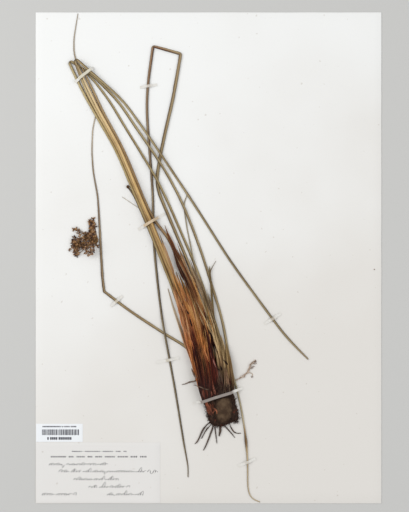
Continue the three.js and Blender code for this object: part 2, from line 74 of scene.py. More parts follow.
SHEET_LOW, SHEET_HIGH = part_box("mounting_sheet")
PAPER_TOP = SHEET_HIGH.z


# Colours and shader maths


def colour(red, green, blue):
    """A colour given as it looks on a screen, 0 to 255, in Blender's linear numbers."""
    shown = np.array([red, green, blue]) / 255
    linear = np.where(shown <= 0.04045, shown / 12.92, ((shown + 0.055) / 1.055) ** 2.4)
    return (*linear.tolist(), 1.0)


class Signal:
    """A shader socket that can stand in a sum: each operation adds its Math node."""

    def __init__(self, finish, socket):
        self.finish = finish
        self.socket = socket

    def math(self, operation, *others):
        inputs = dict(enumerate([self, *others]))
        return self.finish.add("ShaderNodeMath", {"operation": operation}, inputs)

    def __add__(self, other):
        return self.math("ADD", other)

    def __sub__(self, other):
        return self.math("SUBTRACT", other)

    def __mul__(self, other):
        return self.math("MULTIPLY", other)

    def __rsub__(self, other):
        return self * -1.0 + other

    __radd__ = __add__
    __rmul__ = __mul__

    def between(self, low, high):
        """0 below low and 1 above high, with a soft step between them."""
        settings = {"interpolation_type": "SMOOTHSTEP"}
        inputs = {"Value": self, "From Min": low, "From Max": high}
        return self.finish.add("ShaderNodeMapRange", settings, inputs)


class Finish:
    """A material's tree. The one method add() makes every node of it."""

    def __init__(self, name):
        self.material = bpy.data.materials.new(name)
        self.material.use_nodes = True
        self.tree = self.material.node_tree
        self.surface = self.tree.nodes["Principled BSDF"]

    def feed(self, socket, value):
        """Links a signal to a socket, or sets its number, vector or colour (0 to 255)."""
        if isinstance(value, Signal):
            self.tree.links.new(value.socket, socket)
        else:
            socket.default_value = colour(*value) if socket.type == "RGBA" else value

    def add(self, kind, settings=None, inputs=None, output=0):
        node = self.tree.nodes.new(kind)
        for key, value in (settings or {}).items():
            if key == "stops":
                place_stops(node.color_ramp, value)
            else:
                setattr(node, key, value)
        for key, value in (inputs or {}).items():
            self.feed(node.inputs[key], value)
        return Signal(self, node.outputs[output])

    def place(self):
        return self.add("ShaderNodeTexCoord", output="Object")

    def parts(self, vector):
        node = self.add("ShaderNodeSeparateXYZ", inputs={0: vector}).socket.node
        return [Signal(self, socket) for socket in node.outputs]

    def along_and_across(self):
        """How far along a drawn piece, 0 to 1, and how far across it from margin to margin, 0 to 1."""
        along, around, _ = self.parts(self.add("ShaderNodeTexCoord", output="UV"))
        return along, (around * 2.0 - 1.0).math("ABSOLUTE")

    def marked(self, name):
        """A number that a drawn piece carries, such as how sharply it is folded there."""
        return self.add("ShaderNodeAttribute", {"attribute_name": name}, output=2)

    def vector(self, x, y, z=0.0):
        return self.add("ShaderNodeCombineXYZ", inputs={0: x, 1: y, 2: z})

    def on_vector(self, operation, vector, other=(0, 0, 0), output=0):
        return self.add("ShaderNodeVectorMath", {"operation": operation}, {0: vector, 1: other}, output)

    def grain(self, vector, scale, detail=2.0, roughness=0.5, distortion=0.0):
        inputs = {0: vector, "Scale": scale, "Detail": detail, "Roughness": roughness, "Distortion": distortion}
        return self.add("ShaderNodeTexNoise", inputs=inputs)

    def ramp(self, factor, stops):
        return self.add("ShaderNodeValToRGB", {"stops": stops}, {0: factor})

    def mix(self, factor, first, second, blend="MIX"):
        settings = {"data_type": "RGBA", "blend_type": blend}
        return self.add("ShaderNodeMix", settings, {0: factor, 6: first, 7: second}, 2)

    def layered(self, shade, *layers):
        """Tints laid over a shade, each as (mask, its low and high, share, tint) and maybe a blend."""
        for mask, low, high, share, tint, *blend in layers:
            shade = self.mix(mask.between(low, high) * share, shade, tint, *blend)
        return shade

    def wear(self, base, roughness, height, depth, shine=0.5):
        """The finished surface: colour, roughness, a bump of a depth in metres, less shine if dead or dull."""
        bump = self.add("ShaderNodeBump", inputs={"Height": height, "Distance": depth, "Strength": 1.0})
        self.feed(self.surface.inputs["Base Color"], base)
        self.feed(self.surface.inputs["Roughness"], roughness)
        self.feed(self.surface.inputs["Specular IOR Level"], shine)
        self.feed(self.surface.inputs["Normal"], bump)
        return self.material


def place_stops(color_ramp, stops):
    elements = color_ramp.elements
    while len(elements) < len(stops):
        elements.new(0.5)
    for element, (position, *shade) in zip(elements, stops):
        element.position = position
        element.color = colour(*shade)


# Finishes, with colours as they look on a screen and patterns that keep one scale on every piece

DARKEN = "MULTIPLY"
PATTERN_LENGTH = 0.02


def paper(name, shade, shaded):
    """Rag paper, darker and a little warmer towards the lower right of the sheet: painted shade of uneven
    light, over a broad random mottle.
    """
    finish = Finish(name)
    place = finish.place()
    # A broad random mottle plus a slope to the lower right. The slope is painted shade: the sheet is dimmed
    # where less light would fall.
    clouds = finish.grain(place, 7.0, 3.0) + finish.on_vector("DOT_PRODUCT", place, (1.6, -2.6, 0), 1)
    pulp = finish.grain(place, 900.0, 4.0, 0.6)
    fibres = finish.grain(finish.on_vector("MULTIPLY", place, (1.0, 3.4, 1.0)), 420.0, 2.0, 0.7, 1.2)
    shade = finish.layered(
        finish.mix(clouds.between(-0.1, 1.0), shade, shaded),
        (fibres, 0.62, 0.8, 0.1, (170, 160, 140)),
        (finish.grain(place, 260.0, 1.0), 0.74, 0.8, 0.22, (150, 130, 100)),
    )
    return finish.wear(shade, pulp * 0.1 + 0.82, pulp * 0.6 + fibres * 0.5, 0.00002, 0.2)


def stem_skin(name, length, stops, lean):
    """Dried stem: a painted highlight down its middle and painted shade on its sides, fine ridges, flecks, and
    painted shade darkening each fold.
    """
    finish = Finish(name)
    along, across = finish.along_and_across()
    run = along * (length / PATTERN_LENGTH)
    streaks = finish.grain(finish.vector(run * 0.35, across * 6.0), 1.6, 4.0, 0.65)
    patches = finish.grain(finish.vector(run * 0.9, across * 1.2, 3.0), 1.0, 3.0)
    flecks = finish.grain(finish.vector(run * 5.0, across * 9.0, 7.0), 1.4, 2.0)
    # How far from the stem's middle, which lean shifts to one side. The pale layer on it is a painted highlight
    # and the dark layer is painted shade, as a round stem is lit.
    side = ((across - (0.5 + lean)) * 2.0).math("ABSOLUTE")
    shade = finish.layered(
        finish.ramp(along, stops),
        (side, 0.5, 0.0, 0.3, (222, 204, 160)),
        (side, 0.35, 0.92, 0.85, (124, 100, 70), DARKEN),
        (streaks, 0.5, 0.72, 0.5, (120, 92, 56), DARKEN),
        (streaks, 0.5, 0.3, 0.4, (228, 208, 160)),
        (patches, 0.5, 0.72, 0.5, (170, 140, 108), DARKEN),
        (flecks, 0.68, 0.78, 0.7, (60, 40, 24)),
    )
    # Painted shade: each sharp fold is darkened as if shaded there.
    shade = finish.mix(finish.marked("crease") * 0.8, shade, (66, 50, 26))
    ridges = (across * 52.0).math("SINE")
    return finish.wear(shade, streaks * 0.25 + 0.5, ridges * 0.35 + streaks, 0.00012, 0.3)


def sheath_skin(name, length, stops, margin):
    """Papery sheath: a colour that changes along it, fine veins lengthwise, thin pale margins."""
    finish = Finish(name)
    along, across = finish.along_and_across()
    run = along * (length / PATTERN_LENGTH)
    tone = finish.marked("tone")
    veins = finish.grain(finish.vector(run * 0.14, across * 15.0, tone * 30.0), 1.7, 5.0, 0.75)
    bands = finish.grain(finish.vector(run * 0.3, across * 3.6, tone * 20.0), 1.0, 2.0)
    stains = finish.grain(finish.vector(run * 0.7, across * 3.0, tone * 9.0), 1.2, 3.0)
    grown = along.between(0.02, 0.4)
    side = ((across - 0.5) * 2.0).math("ABSOLUTE")
    shade = finish.layered(
        finish.ramp(along, stops),
        (tone, 0.0, 1.0, grown * 0.55, margin),
        (tone, 0.0, -1.0, 0.75, (96, 52, 32), DARKEN),
        (bands, 0.46, 0.62, 0.6, (158, 108, 74), DARKEN),
        (veins, 0.48, 0.36, grown * 0.55 + 0.15, margin),
        (veins, 0.52, 0.62, 0.8, (116, 70, 42), DARKEN),
        (stains, 0.58, 0.74, 0.5, (44, 18, 12)),
        (side, 0.72, 1.0, 0.4, margin),
    )
    shade = finish.mix(1.0, shade, (255, 247, 234), DARKEN)
    shade = finish.mix(red_foot_of_tuft(finish), shade, (255, 228, 208), DARKEN)
    ridges = (across * 40.0).math("SINE")
    return finish.wear(shade, veins * 0.25 + 0.5, ridges * 0.3 + veins, 0.00014, 0.2)


# The redder left part of the tuft's foot: where it fades in and out going up, and its leaning right edge

RED_HEIGHTS = (86, 91), (150, 138)
RED_EDGE = (155, 110)
RED_LEAN = 0.3
RED_BLUR = 0.004


def red_foot_of_tuft(finish):
    """1 over the redder part, above the crown, and 0 beside it."""
    east, north, _ = finish.parts(finish.place())
    x, y = on_sheet(*RED_EDGE)
    edge = x + y * RED_LEAN
    mask = (east + north * RED_LEAN).between(edge, edge - RED_BLUR)
    for clear, full in RED_HEIGHTS:
        mask = mask * north.between(on_sheet(0, clear)[1], on_sheet(0, full)[1])
    return mask


def rough_skin(name, dark, light, scale, depth):
    """Roots, fibres and other small dull pieces, mottled in place."""
    finish = Finish(name)
    mottle = finish.grain(finish.place(), scale, 5.0, 0.65)
    shade = finish.ramp(mottle, [(0.36, *dark), (0.64, *light)])
    return finish.wear(shade, mottle * 0.2 + 0.75, mottle, depth, 0.2)


def capsule_skin():
    finish = Finish("ripe_capsule")
    place = finish.place()
    mottle = finish.grain(place, 900.0, 3.0)
    stops = [(0.37, 52, 28, 13), (0.48, 104, 66, 34), (0.56, 138, 98, 58), (0.66, 172, 134, 92)]
    shade = finish.ramp(finish.grain(place, 420.0, 1.0), stops)
    shade = finish.layered(shade, (mottle, 0.5, 0.66, 0.6, (44, 24, 12)))
    return finish.wear(shade, mottle * 0.2 + 0.3, mottle, 0.00008)


def soil_skin():
    """Grey-brown dried soil, darker and rootier towards the rim of its oval."""
    finish = Finish("dry_soil")
    place = finish.place()
    crumb = finish.add("ShaderNodeTexVoronoi", inputs={"Vector": place, "Scale": 1400.0})
    fine = finish.grain(place, 2200.0, 4.0, 0.7)
    offset = finish.on_vector("SUBTRACT", place, (*on_sheet(*SOIL_MIDDLE), 0))
    oval = finish.on_vector("MULTIPLY", offset, (1 / (SOIL_RADII[0] * MM), 1 / (SOIL_RADII[1] * MM), 0))
    rim = finish.on_vector("LENGTH", oval, output=1) + finish.grain(place, 420.0, 4.0) * 0.5
    stops = [(0.34, 70, 54, 42), (0.52, 89, 71, 55), (0.7, 106, 88, 69)]
    shade = finish.layered(
        finish.ramp(finish.grain(place, 170.0, 3.0), stops),
        (fine, 0.52, 0.72, 0.5, (62, 46, 36)),
        (fine, 0.42, 0.28, 0.3, (152, 134, 110)),
        (rim, 0.95, 1.35, 0.85, (38, 27, 22)),
    )
    return finish.wear(shade, fine * 0.1 + 0.88, crumb * -0.8 + fine, 0.0003, 0.1)


def rootstock_skin():
    """Matted dead fibres on the crown, dark brown with rusty and grey threads; plainer brown roots."""
    finish = Finish("rootstock_skin")
    place = finish.place()
    threads = finish.grain(finish.on_vector("MULTIPLY", place, (3.0, 0.9, 1.5)), 420.0, 5.0, 0.7, 0.8)
    broad = finish.grain(place, 260.0, 3.0)
    _, north, _ = finish.parts(place)
    shade = finish.layered(
        finish.ramp(threads, [(0.34, 25, 16, 13), (0.54, 54, 38, 30), (0.7, 100, 78, 62)]),
        (broad, 0.56, 0.7, 0.5, (112, 56, 40)),
        (north, on_sheet(0, 67)[1], on_sheet(0, 62)[1], 0.6, (94, 82, 73)),
    )
    return finish.wear(shade, threads * 0.2 + 0.72, threads + broad, 0.0004, 0.15)


def linen_skin(name, tint, raised, length):
    """Gummed linen, paper-white where it is stuck down and tinted where it lies over the plant."""
    finish = Finish(name)
    along, across = finish.along_and_across()
    pitch = 2 * math.pi / 0.00032
    weave = (across * (0.0026 * pitch)).math("SINE") * (along * (length * pitch)).math("SINE") * 0.5 + 0.5
    stuck = (226, 224, 219)
    stops = [(raised - 0.08, *stuck), (raised, *tint), (1 - raised, *tint), (1.08 - raised, *stuck)]
    shade = finish.mix(weave * 0.12, finish.ramp(along, stops), (206, 202, 194))
    glue = finish.grain(finish.place(), 260.0, 3.0)
    shade = finish.layered(shade, (glue, 0.5, 0.72, 0.14, (214, 200, 174)))
    return finish.wear(shade, weave * 0.15 + 0.75, weave, 0.00004, 0.2)


def ink(name, shade):
    finish = Finish(name)
    wash = finish.grain(finish.place(), 500.0, 2.0)
    shade = finish.layered(shade, (wash, 0.4, 0.7, 0.4, (120, 116, 116)))
    return finish.wear(shade, wash * 0.2 + 0.5, wash, 0.000005)


# Reading the frame


def on_sheet(x, y):
    """A place in millimetres from the sheet's lower left corner, in the frame's metres."""
    return SHEET_LOW.x + x * MM, SHEET_LOW.y + y * MM


def merged(node):
    solid = bmesh.new()
    solid.from_mesh(frame["nodes"][node].data)
    bmesh.ops.remove_doubles(solid, verts=solid.verts, dist=MERGE)
    return solid


def tree_of(node):
    solid = merged(node)
    verts = [v.co.copy() for v in solid.verts]
    faces = [[v.index for v in f.verts] for f in solid.faces]
    solid.free()
    return BVHTree.FromPolygons(verts, faces)


def height_at(tree, x, y):
    """How high the top of a tree of faces is over a place, or None beside it."""
    hit = tree.ray_cast(Vector((x, y, RAY_START)), Vector((0, 0, -1)))[0]
    return hit and hit.z


class Pile:
    """How high the plant lies over part of the sheet, so that each thin strip can rest on the ones before."""

    CELL = 0.00025
    CEILING = 0.0096
    BRIDGE = 5
    SHARES = np.linspace(-1, 1, 7)
    PLANT = ("dried_", "papery_", "rootstock", "clinging_soil")

    def __init__(self, low, high):
        self.corner = np.array(on_sheet(*low))
        self.counts = ((np.array(on_sheet(*high)) - self.corner) / self.CELL).astype(int)
        verts, faces = [], []
        for piece in bpy.context.scene.objects:
            if piece.name.startswith(self.PLANT):
                start = len(verts)
                verts.extend(v.co.copy() for v in piece.data.vertices)
                faces.extend([start + k for k in p.vertices] for p in piece.data.polygons)
        tree = BVHTree.FromPolygons(verts, faces)
        self.tops = np.full(self.counts, PAPER_TOP)
        xs, ys = (self.corner[k] + (np.arange(self.counts[k]) + 0.5) * self.CELL for k in (0, 1))
        for i, x in enumerate(xs.tolist()):
            for j, y in enumerate(ys.tolist()):
                self.tops[i, j] = max(height_at(tree, x, y) or 0.0, PAPER_TOP)

    def lay(self, path, half_widths, arch, lift=0.00004):
        """Sets a strip down on the pile, easing it over small gaps, and lets the pile grow by it."""
        at = chord_lengths(path)
        fine = np.linspace(0, at[-1], max(3, int(at[-1] / self.CELL)))
        spine = read_off(fine, at, path)
        reach = np.interp(fine, at, half_widths)[:, None]
        spots = spine[:, None, :2] + sideways(spine)[:, None] * (reach * self.SHARES)[..., None]
        cells = np.clip(((spots - self.corner) / self.CELL).astype(int), 0, self.counts - 1)
        cells = (cells[..., 0], cells[..., 1])
        tops = self.tops[cells].max(1)
        for ease in (np.max, np.mean):
            padded = np.pad(tops, self.BRIDGE, mode="edge")
            tops = ease([padded[k : k + len(tops)] for k in range(2 * self.BRIDGE + 1)], axis=0)
        tops = np.minimum(tops + lift, self.CEILING)
        path[:, 2] = np.interp(at, fine, tops)
        np.maximum.at(self.tops, cells, tops[:, None] + reach * arch * (1.15 - self.SHARES**2))
        return path


def neighbours(vert):
    return {edge.other_vert(vert) for edge in vert.link_edges}


def off_centre(vert):
    """How far a vertex stands from the middle of its neighbours; nothing for the middle of a flat end."""
    around = neighbours(vert)
    return (sum((n.co for n in around), Vector()) / len(around) - vert.co).length


END_VALENCE = 5
WIDEST_CORNER = {4: 1.0, 5: 0.951, 6: 1.0}
TALLEST_CORNER = {4: 1.0, 5: 1.0, 6: 0.866}


def stations(node):
    """The rings of a bent tube of the frame, from its wider end: centres, half widths, half thicknesses."""
    solid = merged(node)
    caps = [v for v in solid.verts if all(len(n.link_edges) == END_VALENCE for n in neighbours(v))]
    start = min(caps, key=off_centre)
    seen = {start}
    front = neighbours(start)
    sides = len(front)
    rings = []
    while len(front) == sides:
        rings.append(np.array([v.co for v in front]))
        seen |= front
        front = {n for v in front for n in neighbours(v)} - seen
    solid.free()
    centres = np.array([ring.mean(0) for ring in rings])
    tangents = np.gradient(centres, axis=0)
    lateral = np.stack([tangents[:, 1], -tangents[:, 0]], 1)
    lateral /= np.linalg.norm(lateral, axis=1)[:, None]
    offsets = [ring - centre for ring, centre in zip(rings, centres)]
    widths = np.array([np.abs(o[:, :2] @ s).max() for o, s in zip(offsets, lateral)]) / WIDEST_CORNER[sides]
    heights = np.array([np.abs(o[:, 2]).max() for o in offsets]) / TALLEST_CORNER[sides]
    if widths[0] < widths[-1] - 1e-5:
        return centres[::-1], widths[::-1], heights[::-1]
    return centres, widths, heights


def unit(vectors):
    return vectors / np.maximum(np.linalg.norm(vectors, axis=-1, keepdims=True), 1e-9)


def sideways(path):
    """The level direction to the right of a path at each of its points."""
    along = np.gradient(path[:, :2], axis=0)
    return unit(np.stack([along[:, 1], -along[:, 0]], 1))


def read_off(wanted, at, points):
    """The points of a path at the wanted distances along it."""
    return np.stack([np.interp(wanted, at, c) for c in points.T], 1)


def creases(path, reach=0.0022):
    """0 where a path runs on and 1 where it is folded sharply back within a short reach."""
    at = chord_lengths(path)
    back, ahead = (read_off(at + way, at, path) for way in (-reach, reach))
    bent = (unit(path - back) * unit(ahead - path)).sum(1)
    bent[(at < reach) | (at > at[-1] - reach)] = 1.0
    sharp = np.clip((0.75 - bent) / 0.9, 0, 1)
    return sharp * sharp * (3 - 2 * sharp)


def chord_lengths(points):
    steps = np.linalg.norm(np.diff(points, axis=0), axis=1)
    return np.concatenate([[0.0], np.cumsum(np.maximum(steps, 1e-7))])


def smoothed(points, step, *values):
    """A smooth path through the points, straight where they run straight, and the values read along it."""
    points = np.asarray(points, float)
    at = chord_lengths(points)
    padded = np.vstack([points[:1], points, points[-1:]])
    slopes = unit(padded[2:] - padded[:-2])
    counts = np.maximum(2, np.ceil(np.diff(at) / step).astype(int))
    wanted = [np.linspace(a, b, n, endpoint=False) for a, b, n in zip(at, at[1:], counts)]
    wanted = np.concatenate([*wanted, at[-1:]])
    k = np.clip(np.searchsorted(at, wanted, side="right") - 1, 0, len(points) - 2)
    span = at[k + 1] - at[k]
    t = ((wanted - at[k]) / span)[:, None]
    span = span[:, None]
    path = (
        (2 * t**3 - 3 * t**2 + 1) * points[k]
        + (t**3 - 2 * t**2 + t) * span * slopes[k]
        + (3 * t**2 - 2 * t**3) * points[k + 1]
        + (t**3 - t**2) * span * slopes[k + 1]
    )
    return (path, *[np.interp(wanted, at, v) for v in values])


def laid(route, tree, fallback, lift=0.0):
    """A route of places on the sheet, at the height of the surface that is straight under each."""
    places = [on_sheet(*place) for place in route]
    return np.array([(*place, (height_at(tree, *place) or fallback) + lift) for place in places])


# Making pieces


def deselect():
    if bpy.context.object and bpy.context.object.mode != "OBJECT":
        bpy.ops.object.mode_set(mode="OBJECT")
    bpy.ops.object.select_all(action="DESELECT")


def take(piece):
    deselect()
    piece.select_set(True)
    bpy.context.view_layer.objects.active = piece


def applied(piece, kind, **settings):
    take(piece)
    modifier = piece.modifiers.new(kind.title(), kind)
    for key, value in settings.items():
        setattr(modifier, key, value)
    bpy.ops.object.modifier_apply(modifier=modifier.name)
    return piece


def placed(piece, **place):
    """Gives the selected piece its place, turn or size, and puts them in its mesh."""
    for key, value in place.items():
        setattr(piece, key, value)
    bpy.ops.object.transform_apply()
    return piece


def joined(name, parts):
    take(parts[0])
    for part in parts[1:]:
        part.select_set(True)
    if len(parts) > 1:
        bpy.ops.object.join()
    parts[0].name = parts[0].data.name = name
    return parts[0]


def cleaned(piece, smooth_angle=None):
    take(piece)
    bpy.ops.object.mode_set(mode="EDIT")
    bpy.ops.mesh.select_all(action="SELECT")
    bpy.ops.mesh.remove_doubles(threshold=MERGE)
    bpy.ops.mesh.normals_make_consistent(inside=False)
    bpy.ops.object.mode_set(mode="OBJECT")
    if smooth_angle is None:
        bpy.ops.object.shade_smooth()
    else:
        bpy.ops.object.shade_smooth_by_angle(angle=smooth_angle)
    return piece


def finished(piece, slot, material, *nodes):
    """Puts a finished piece in the frame: its finish, its body and the solids it stands for; the slot it is
    given is not used.
    """
    piece.data.materials.clear()
    piece.data.materials.append(material)
    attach(piece, "root")
    if nodes:
        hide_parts(*nodes)
    return piece


def curve_object(name, lines, cyclic=False):
    """A curve whose lines are lists of (point, radius)."""
    curve = bpy.data.curves.new(name, "CURVE")
    curve.dimensions = "2D" if cyclic else "3D"
    for line in lines:
        spline = curve.splines.new("POLY")
        spline.points.add(len(line) - 1)
        for dot, (place, radius) in zip(spline.points, line):
            dot.co = (*place, 1.0)
            dot.radius = radius
        spline.use_cyclic_u = cyclic
    piece = bpy.data.objects.new(name, curve)
    bpy.context.scene.collection.objects.link(piece)
    return piece


def drawn(name, path, half_widths, section, reshape=None, span=(0.0, 1.0), tone=0.0, smooth_angle=None):
    """A section of unit half width drawn along a path; reshape may then move each ring of its points."""
    outline = curve_object(name + "_section", [[((x, y, 0.0), 1.0) for x, y in section]], cyclic=True)
    piece = curve_object(name, [list(zip(map(tuple, path), half_widths))])
    piece.data.twist_mode = "Z_UP"
    piece.data.bevel_mode = "OBJECT"
    piece.data.bevel_object = outline
    piece.data.use_fill_caps = True
    take(piece)
    bpy.ops.object.convert(target="MESH")
    bpy.data.objects.remove(outline)
    measure_along(piece, path, span)
    bent = creases(path)
    mark(piece, "crease", np.concatenate([bent[[-1, 0]], bent]).repeat(len(section)))
    mark(piece, "tone", np.full(len(piece.data.vertices), tone))
    if reshape:
        reshape_rings(piece, len(section), reshape)
    return cleaned(piece, smooth_angle)


def measure_along(piece, path, span):
    """Makes the first texture coordinate the true share of the length, within the span given."""
    shares = chord_lengths(path)
    shares = shares / shares[-1]
    layer = piece.data.uv_layers[0].uv
    flat = np.empty(len(layer) * 2)
    layer.foreach_get("vector", flat)
    shares = np.interp(flat[::2], np.linspace(0, 1, len(path)), shares)
    flat[::2] = span[0] + (span[1] - span[0]) * shares
    layer.foreach_set("vector", flat)


def mark(piece, name, values):
    piece.data.attributes.new(name, "FLOAT", "POINT").data.foreach_set("value", values)


def reshape_rings(piece, per_ring, reshape):
    """Moves the rings of a drawn piece. Its two caps come first in the mesh, last end before first."""
    mesh = piece.data
    flat = np.empty(len(mesh.vertices) * 3)
    mesh.vertices.foreach_get("co", flat)
    points = flat.reshape(-1, 3)
    rings = reshape(points[2 * per_ring :].reshape(-1, per_ring, 3).copy())
    points[2 * per_ring :] = rings.reshape(-1, 3)
    points[:per_ring] = rings[-1]
    points[per_ring : 2 * per_ring] = rings[0]
    mesh.vertices.foreach_set("co", points.ravel())
    mesh.update()


def fibres(name, lines, sides=2):
    """Many thin round strands in one mesh; each line is a list of (point, radius)."""
    piece = curve_object(name, lines)
    piece.data.bevel_depth = 1.0
    piece.data.bevel_resolution = sides - 2
    piece.data.use_fill_caps = True
    take(piece)
    bpy.ops.object.convert(target="MESH")
    return cleaned(piece)


# Sections of unit half width, given from the right margin round underneath


def stem_section(points, flatness, ridge, groove):
    outline = []
    for k in range(points):
        angle = -2 * math.pi * k / points
        reach = 1 - ridge * (k % 2)
        x = reach * math.cos(angle)
        dent = 1 - groove * math.exp(-((x / 0.4) ** 2))
        outline.append((x, flatness * reach * math.sin(angle) * dent))
    return outline


def blade_section(arch, thickness, ribs, curl=0.0):
    """A thin blade arched over what it covers, with lengthwise ribs and margins that may curl up."""
    steps = 10
    xs = [1 - 2 * k / steps for k in range(steps + 1)]

    def middle(k, x):
        return arch * (1 - x * x) + ribs * (1 if k % 2 else -1) + curl * abs(x) ** 5

    def half(x):
        return 0.5 * thickness * (1 - 0.7 * x * x)

    under = [(x, middle(k, x) - half(x)) for k, x in enumerate(xs)]
    over = [(x, middle(k, x) + half(x)) for k, x in enumerate(xs)]
    return under + over[-2:0:-1]


def uneven(seed, amount, rate=1.0, twist=0.0):
    """Small dents and swellings along a drawn piece, as real dried skin has."""

    def reshape(rings):
        centres = rings.mean(1, keepdims=True)
        for i, centre in enumerate(centres[:, 0]):
            at = Vector((centre[0], centre[1], seed)) * (260.0 * rate)
            swell = 1 + amount * noise.noise(at)
            lean = 1 + twist * noise.noise(at + Vector((31.0, 7.0, 0.0)))
            rings[i] = centre + (rings[i] - centre) * np.array([swell, swell, swell * lean])
        return rings

    return reshape


def torn(seed, tear, start=0.55):
    """Margins that waver along a blade and tear raggedly towards its tip."""

    def reshape(rings):
        centres = rings.mean(1)
        at = chord_lengths(centres)
        for i, centre in enumerate(centres):
            ragged = tear * max(0.0, (at[i] / at[-1] - start) / (1 - start))
            offsets = rings[i] - centre
            side = offsets[0] / (np.linalg.norm(offsets[0]) + 1e-9)
            across = offsets @ side
            for sign, shift in ((1, 0.0), (-1, 50.0)):
                wave = noise.noise(Vector((at[i] * 240 + shift, seed, 0.0)))
                ripple = noise.noise(Vector((at[i] * 60 + shift, seed, 9.0)))
                pull = 0.12 * ripple + (0.05 + ragged) * wave
                chosen = across * sign > 0
                offsets[chosen] += np.outer(across[chosen] * pull, side)
            rings[i] = centre + offsets
        return rings

    return reshape


# The sheet of paper


def paper_card(name, node, cuts, jitter, seed):
    """A card on the solid's own box: its edges a little uneven, its corners softened."""
    low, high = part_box(node)
    middle = (low + high) / 2
    deselect()
    bpy.ops.mesh.primitive_cube_add(size=1, location=middle)
    card = placed(bpy.context.object, scale=high - low)
    bpy.ops.object.mode_set(mode="EDIT")
    solid = bmesh.from_edit_mesh(card.data)
    for edge in solid.edges:
        edge.select = abs(edge.verts[0].co.z - edge.verts[1].co.z) < 1e-6
    bmesh.update_edit_mesh(card.data)
    bpy.ops.mesh.subdivide(number_cuts=cuts)
    bpy.ops.object.mode_set(mode="OBJECT")
    for vert in card.data.vertices:
        for axis in (0, 1):
            if min(abs(vert.co[axis] - low[axis]), abs(vert.co[axis] - high[axis])) < 1e-6:
                wave = noise.noise(Vector((vert.co.x * 40, vert.co.y * 40, seed)))
                inward = jitter * (0.5 + 0.5 * wave)
                vert.co[axis] -= math.copysign(inward, vert.co[axis] - middle[axis])
    card.name = card.data.name = name
    applied(card, "BEVEL", width=(high.z - low.z) * 0.3, segments=2, limit_method="ANGLE")
    return cleaned(card, math.radians(40))


# Each card: its name, its solid, its slot, the cuts along its edges, how uneven they are, its colour and the
# colour of its painted shade

CARDS = [
    ("paper_sheet", "mounting_sheet", "sheet_paper", 40, 0.00025, (239, 240, 239), (222, 219, 214)),
    ("paper_label", "collection_label", "label_paper", 16, 0.00008, (225, 226, 226), (225, 223, 220)),
    ("paper_slip", "catalogue_slip", "slip_paper", 10, 0.00004, (236, 240, 244), (236, 239, 242)),
]


def sheet_and_cards():
    for seed, (name, node, slot, cuts, jitter, shade, shaded) in enumerate(CARDS):
        card = paper_card(name, node, cuts, jitter, seed * 3.7)
        finished(card, slot, paper(name + "_pulp", shade, shaded), node)


# Marks that spell nothing on the label and the slip, in rows of height, left end, right end and bar sizes

PRINTED_ROWS = [(44.2, 31.0, 76.7, 0.9), (39.7, 13.0, 93.6, 1.3)]
PEN_ROWS = [
    (33.4, 11.5, 60.6), (27.4, 20.0, 103.0), (20.7, 32.7, 70.8),
    (14.3, 45.4, 79.3), (8.0, 5.6, 34.4), (8.0, 60.6, 91.1),
]
SLIP_BARS = {"left": 5.6, "right": 36.0, "low": 58.0, "high": 62.8}
SLIP_ROWS = [(65.2, 6.0, 35.0, 0.9, 1.1), (55.2, 10.0, 30.5, 1.3, 2.2)]


def bar_on(surface, x, y, width, height):
    """A thin flat bar printed on a surface, its middle at a place on the sheet."""
    thick = 0.00003
    deselect()
    bpy.ops.mesh.primitive_cube_add(size=1, location=(*on_sheet(x, y), surface + thick / 2))
    return placed(bpy.context.object, scale=(width * MM, height * MM, thick))


def printed_marks():
    draw = random.Random(11)
    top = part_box("collection_label")[1].z
    bars = []
    for y, x, right, tall in PRINTED_ROWS:
        while x < right:
            for _ in range(draw.randint(3, 9)):
                bars.append(bar_on(top, x + 0.5, y, draw.uniform(0.8, 1.1), tall))
                x += 1.45
                if x > right:
                    break
            x += 2.2
    piece = joined("label_print", bars)
    finished(cleaned(piece), "label_paper", ink("printing_ink", (88, 86, 92)))


def pen_marks():
    """Hand strokes: slanted loops in runs of uneven length, each with one long stroke up or down."""
    draw = random.Random(5)
    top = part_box("collection_label")[1].z
    lines = []
    for y, x, right in PEN_ROWS:
        while x < right - 2:
            run = min(draw.uniform(6, 17), right - x)
            tall = draw.uniform(1.3, 1.9)
            reach = draw.choice([1.6, 1.9, -2.6])
            peak = draw.uniform(1, run)
            line = []
            steps = int(run / 0.13)
            for along in (run * k / steps for k in range(steps + 1)):
                high = 1 + reach * math.exp(-(((along - peak) / 0.9) ** 2))
                turn = along * 3.0 + 0.9 * math.sin(along * 0.9 + x)
                swing = (0.5 - 0.5 * math.cos(turn)) * tall * high * (0.8 + 0.35 * math.sin(along * 1.3 + x))
                px = x + along - 0.5 * math.sin(turn) + 0.4 * swing
                place = (*on_sheet(px, y - 0.8 + swing), top + 0.00002)
                line.append((place, 0.0002 + 0.00008 * math.sin(turn + 1.2)))
            lines.append(line)
            x += run + draw.uniform(1.4, 2.6)
    piece = fibres("label_pen_strokes", lines)
    for vert in piece.data.vertices:
        vert.co.z = top + (vert.co.z - top) * 0.2
    finished(piece, "label_paper", ink("pen_ink", (38, 34, 42)))


def slip_marks():
    draw = random.Random(3)
    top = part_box("catalogue_slip")[1].z
    bars = []
    x = SLIP_BARS["left"]
    tall = SLIP_BARS["high"] - SLIP_BARS["low"]
    middle = (SLIP_BARS["high"] + SLIP_BARS["low"]) / 2
    while x < SLIP_BARS["right"]:
        width = draw.choice([0.4, 0.6, 0.6, 0.9])
        bars.append(bar_on(top, x + width / 2, middle, width, tall))
        x += width + draw.choice([0.3, 0.35, 0.5])
    for y, x, right, wide, tall in SLIP_ROWS:
        while x < right:
            bars.append(bar_on(top, x + wide / 2, y, wide, tall))
            x += wide + draw.choice([0.3, 0.3, 0.3, 1.1])
    piece = joined("slip_bars", bars)
    finished(cleaned(piece), "slip_paper", ink("bar_ink", (44, 46, 62)))


# Stems: colours along each from its base to its tip, as (how far, red, green, blue)

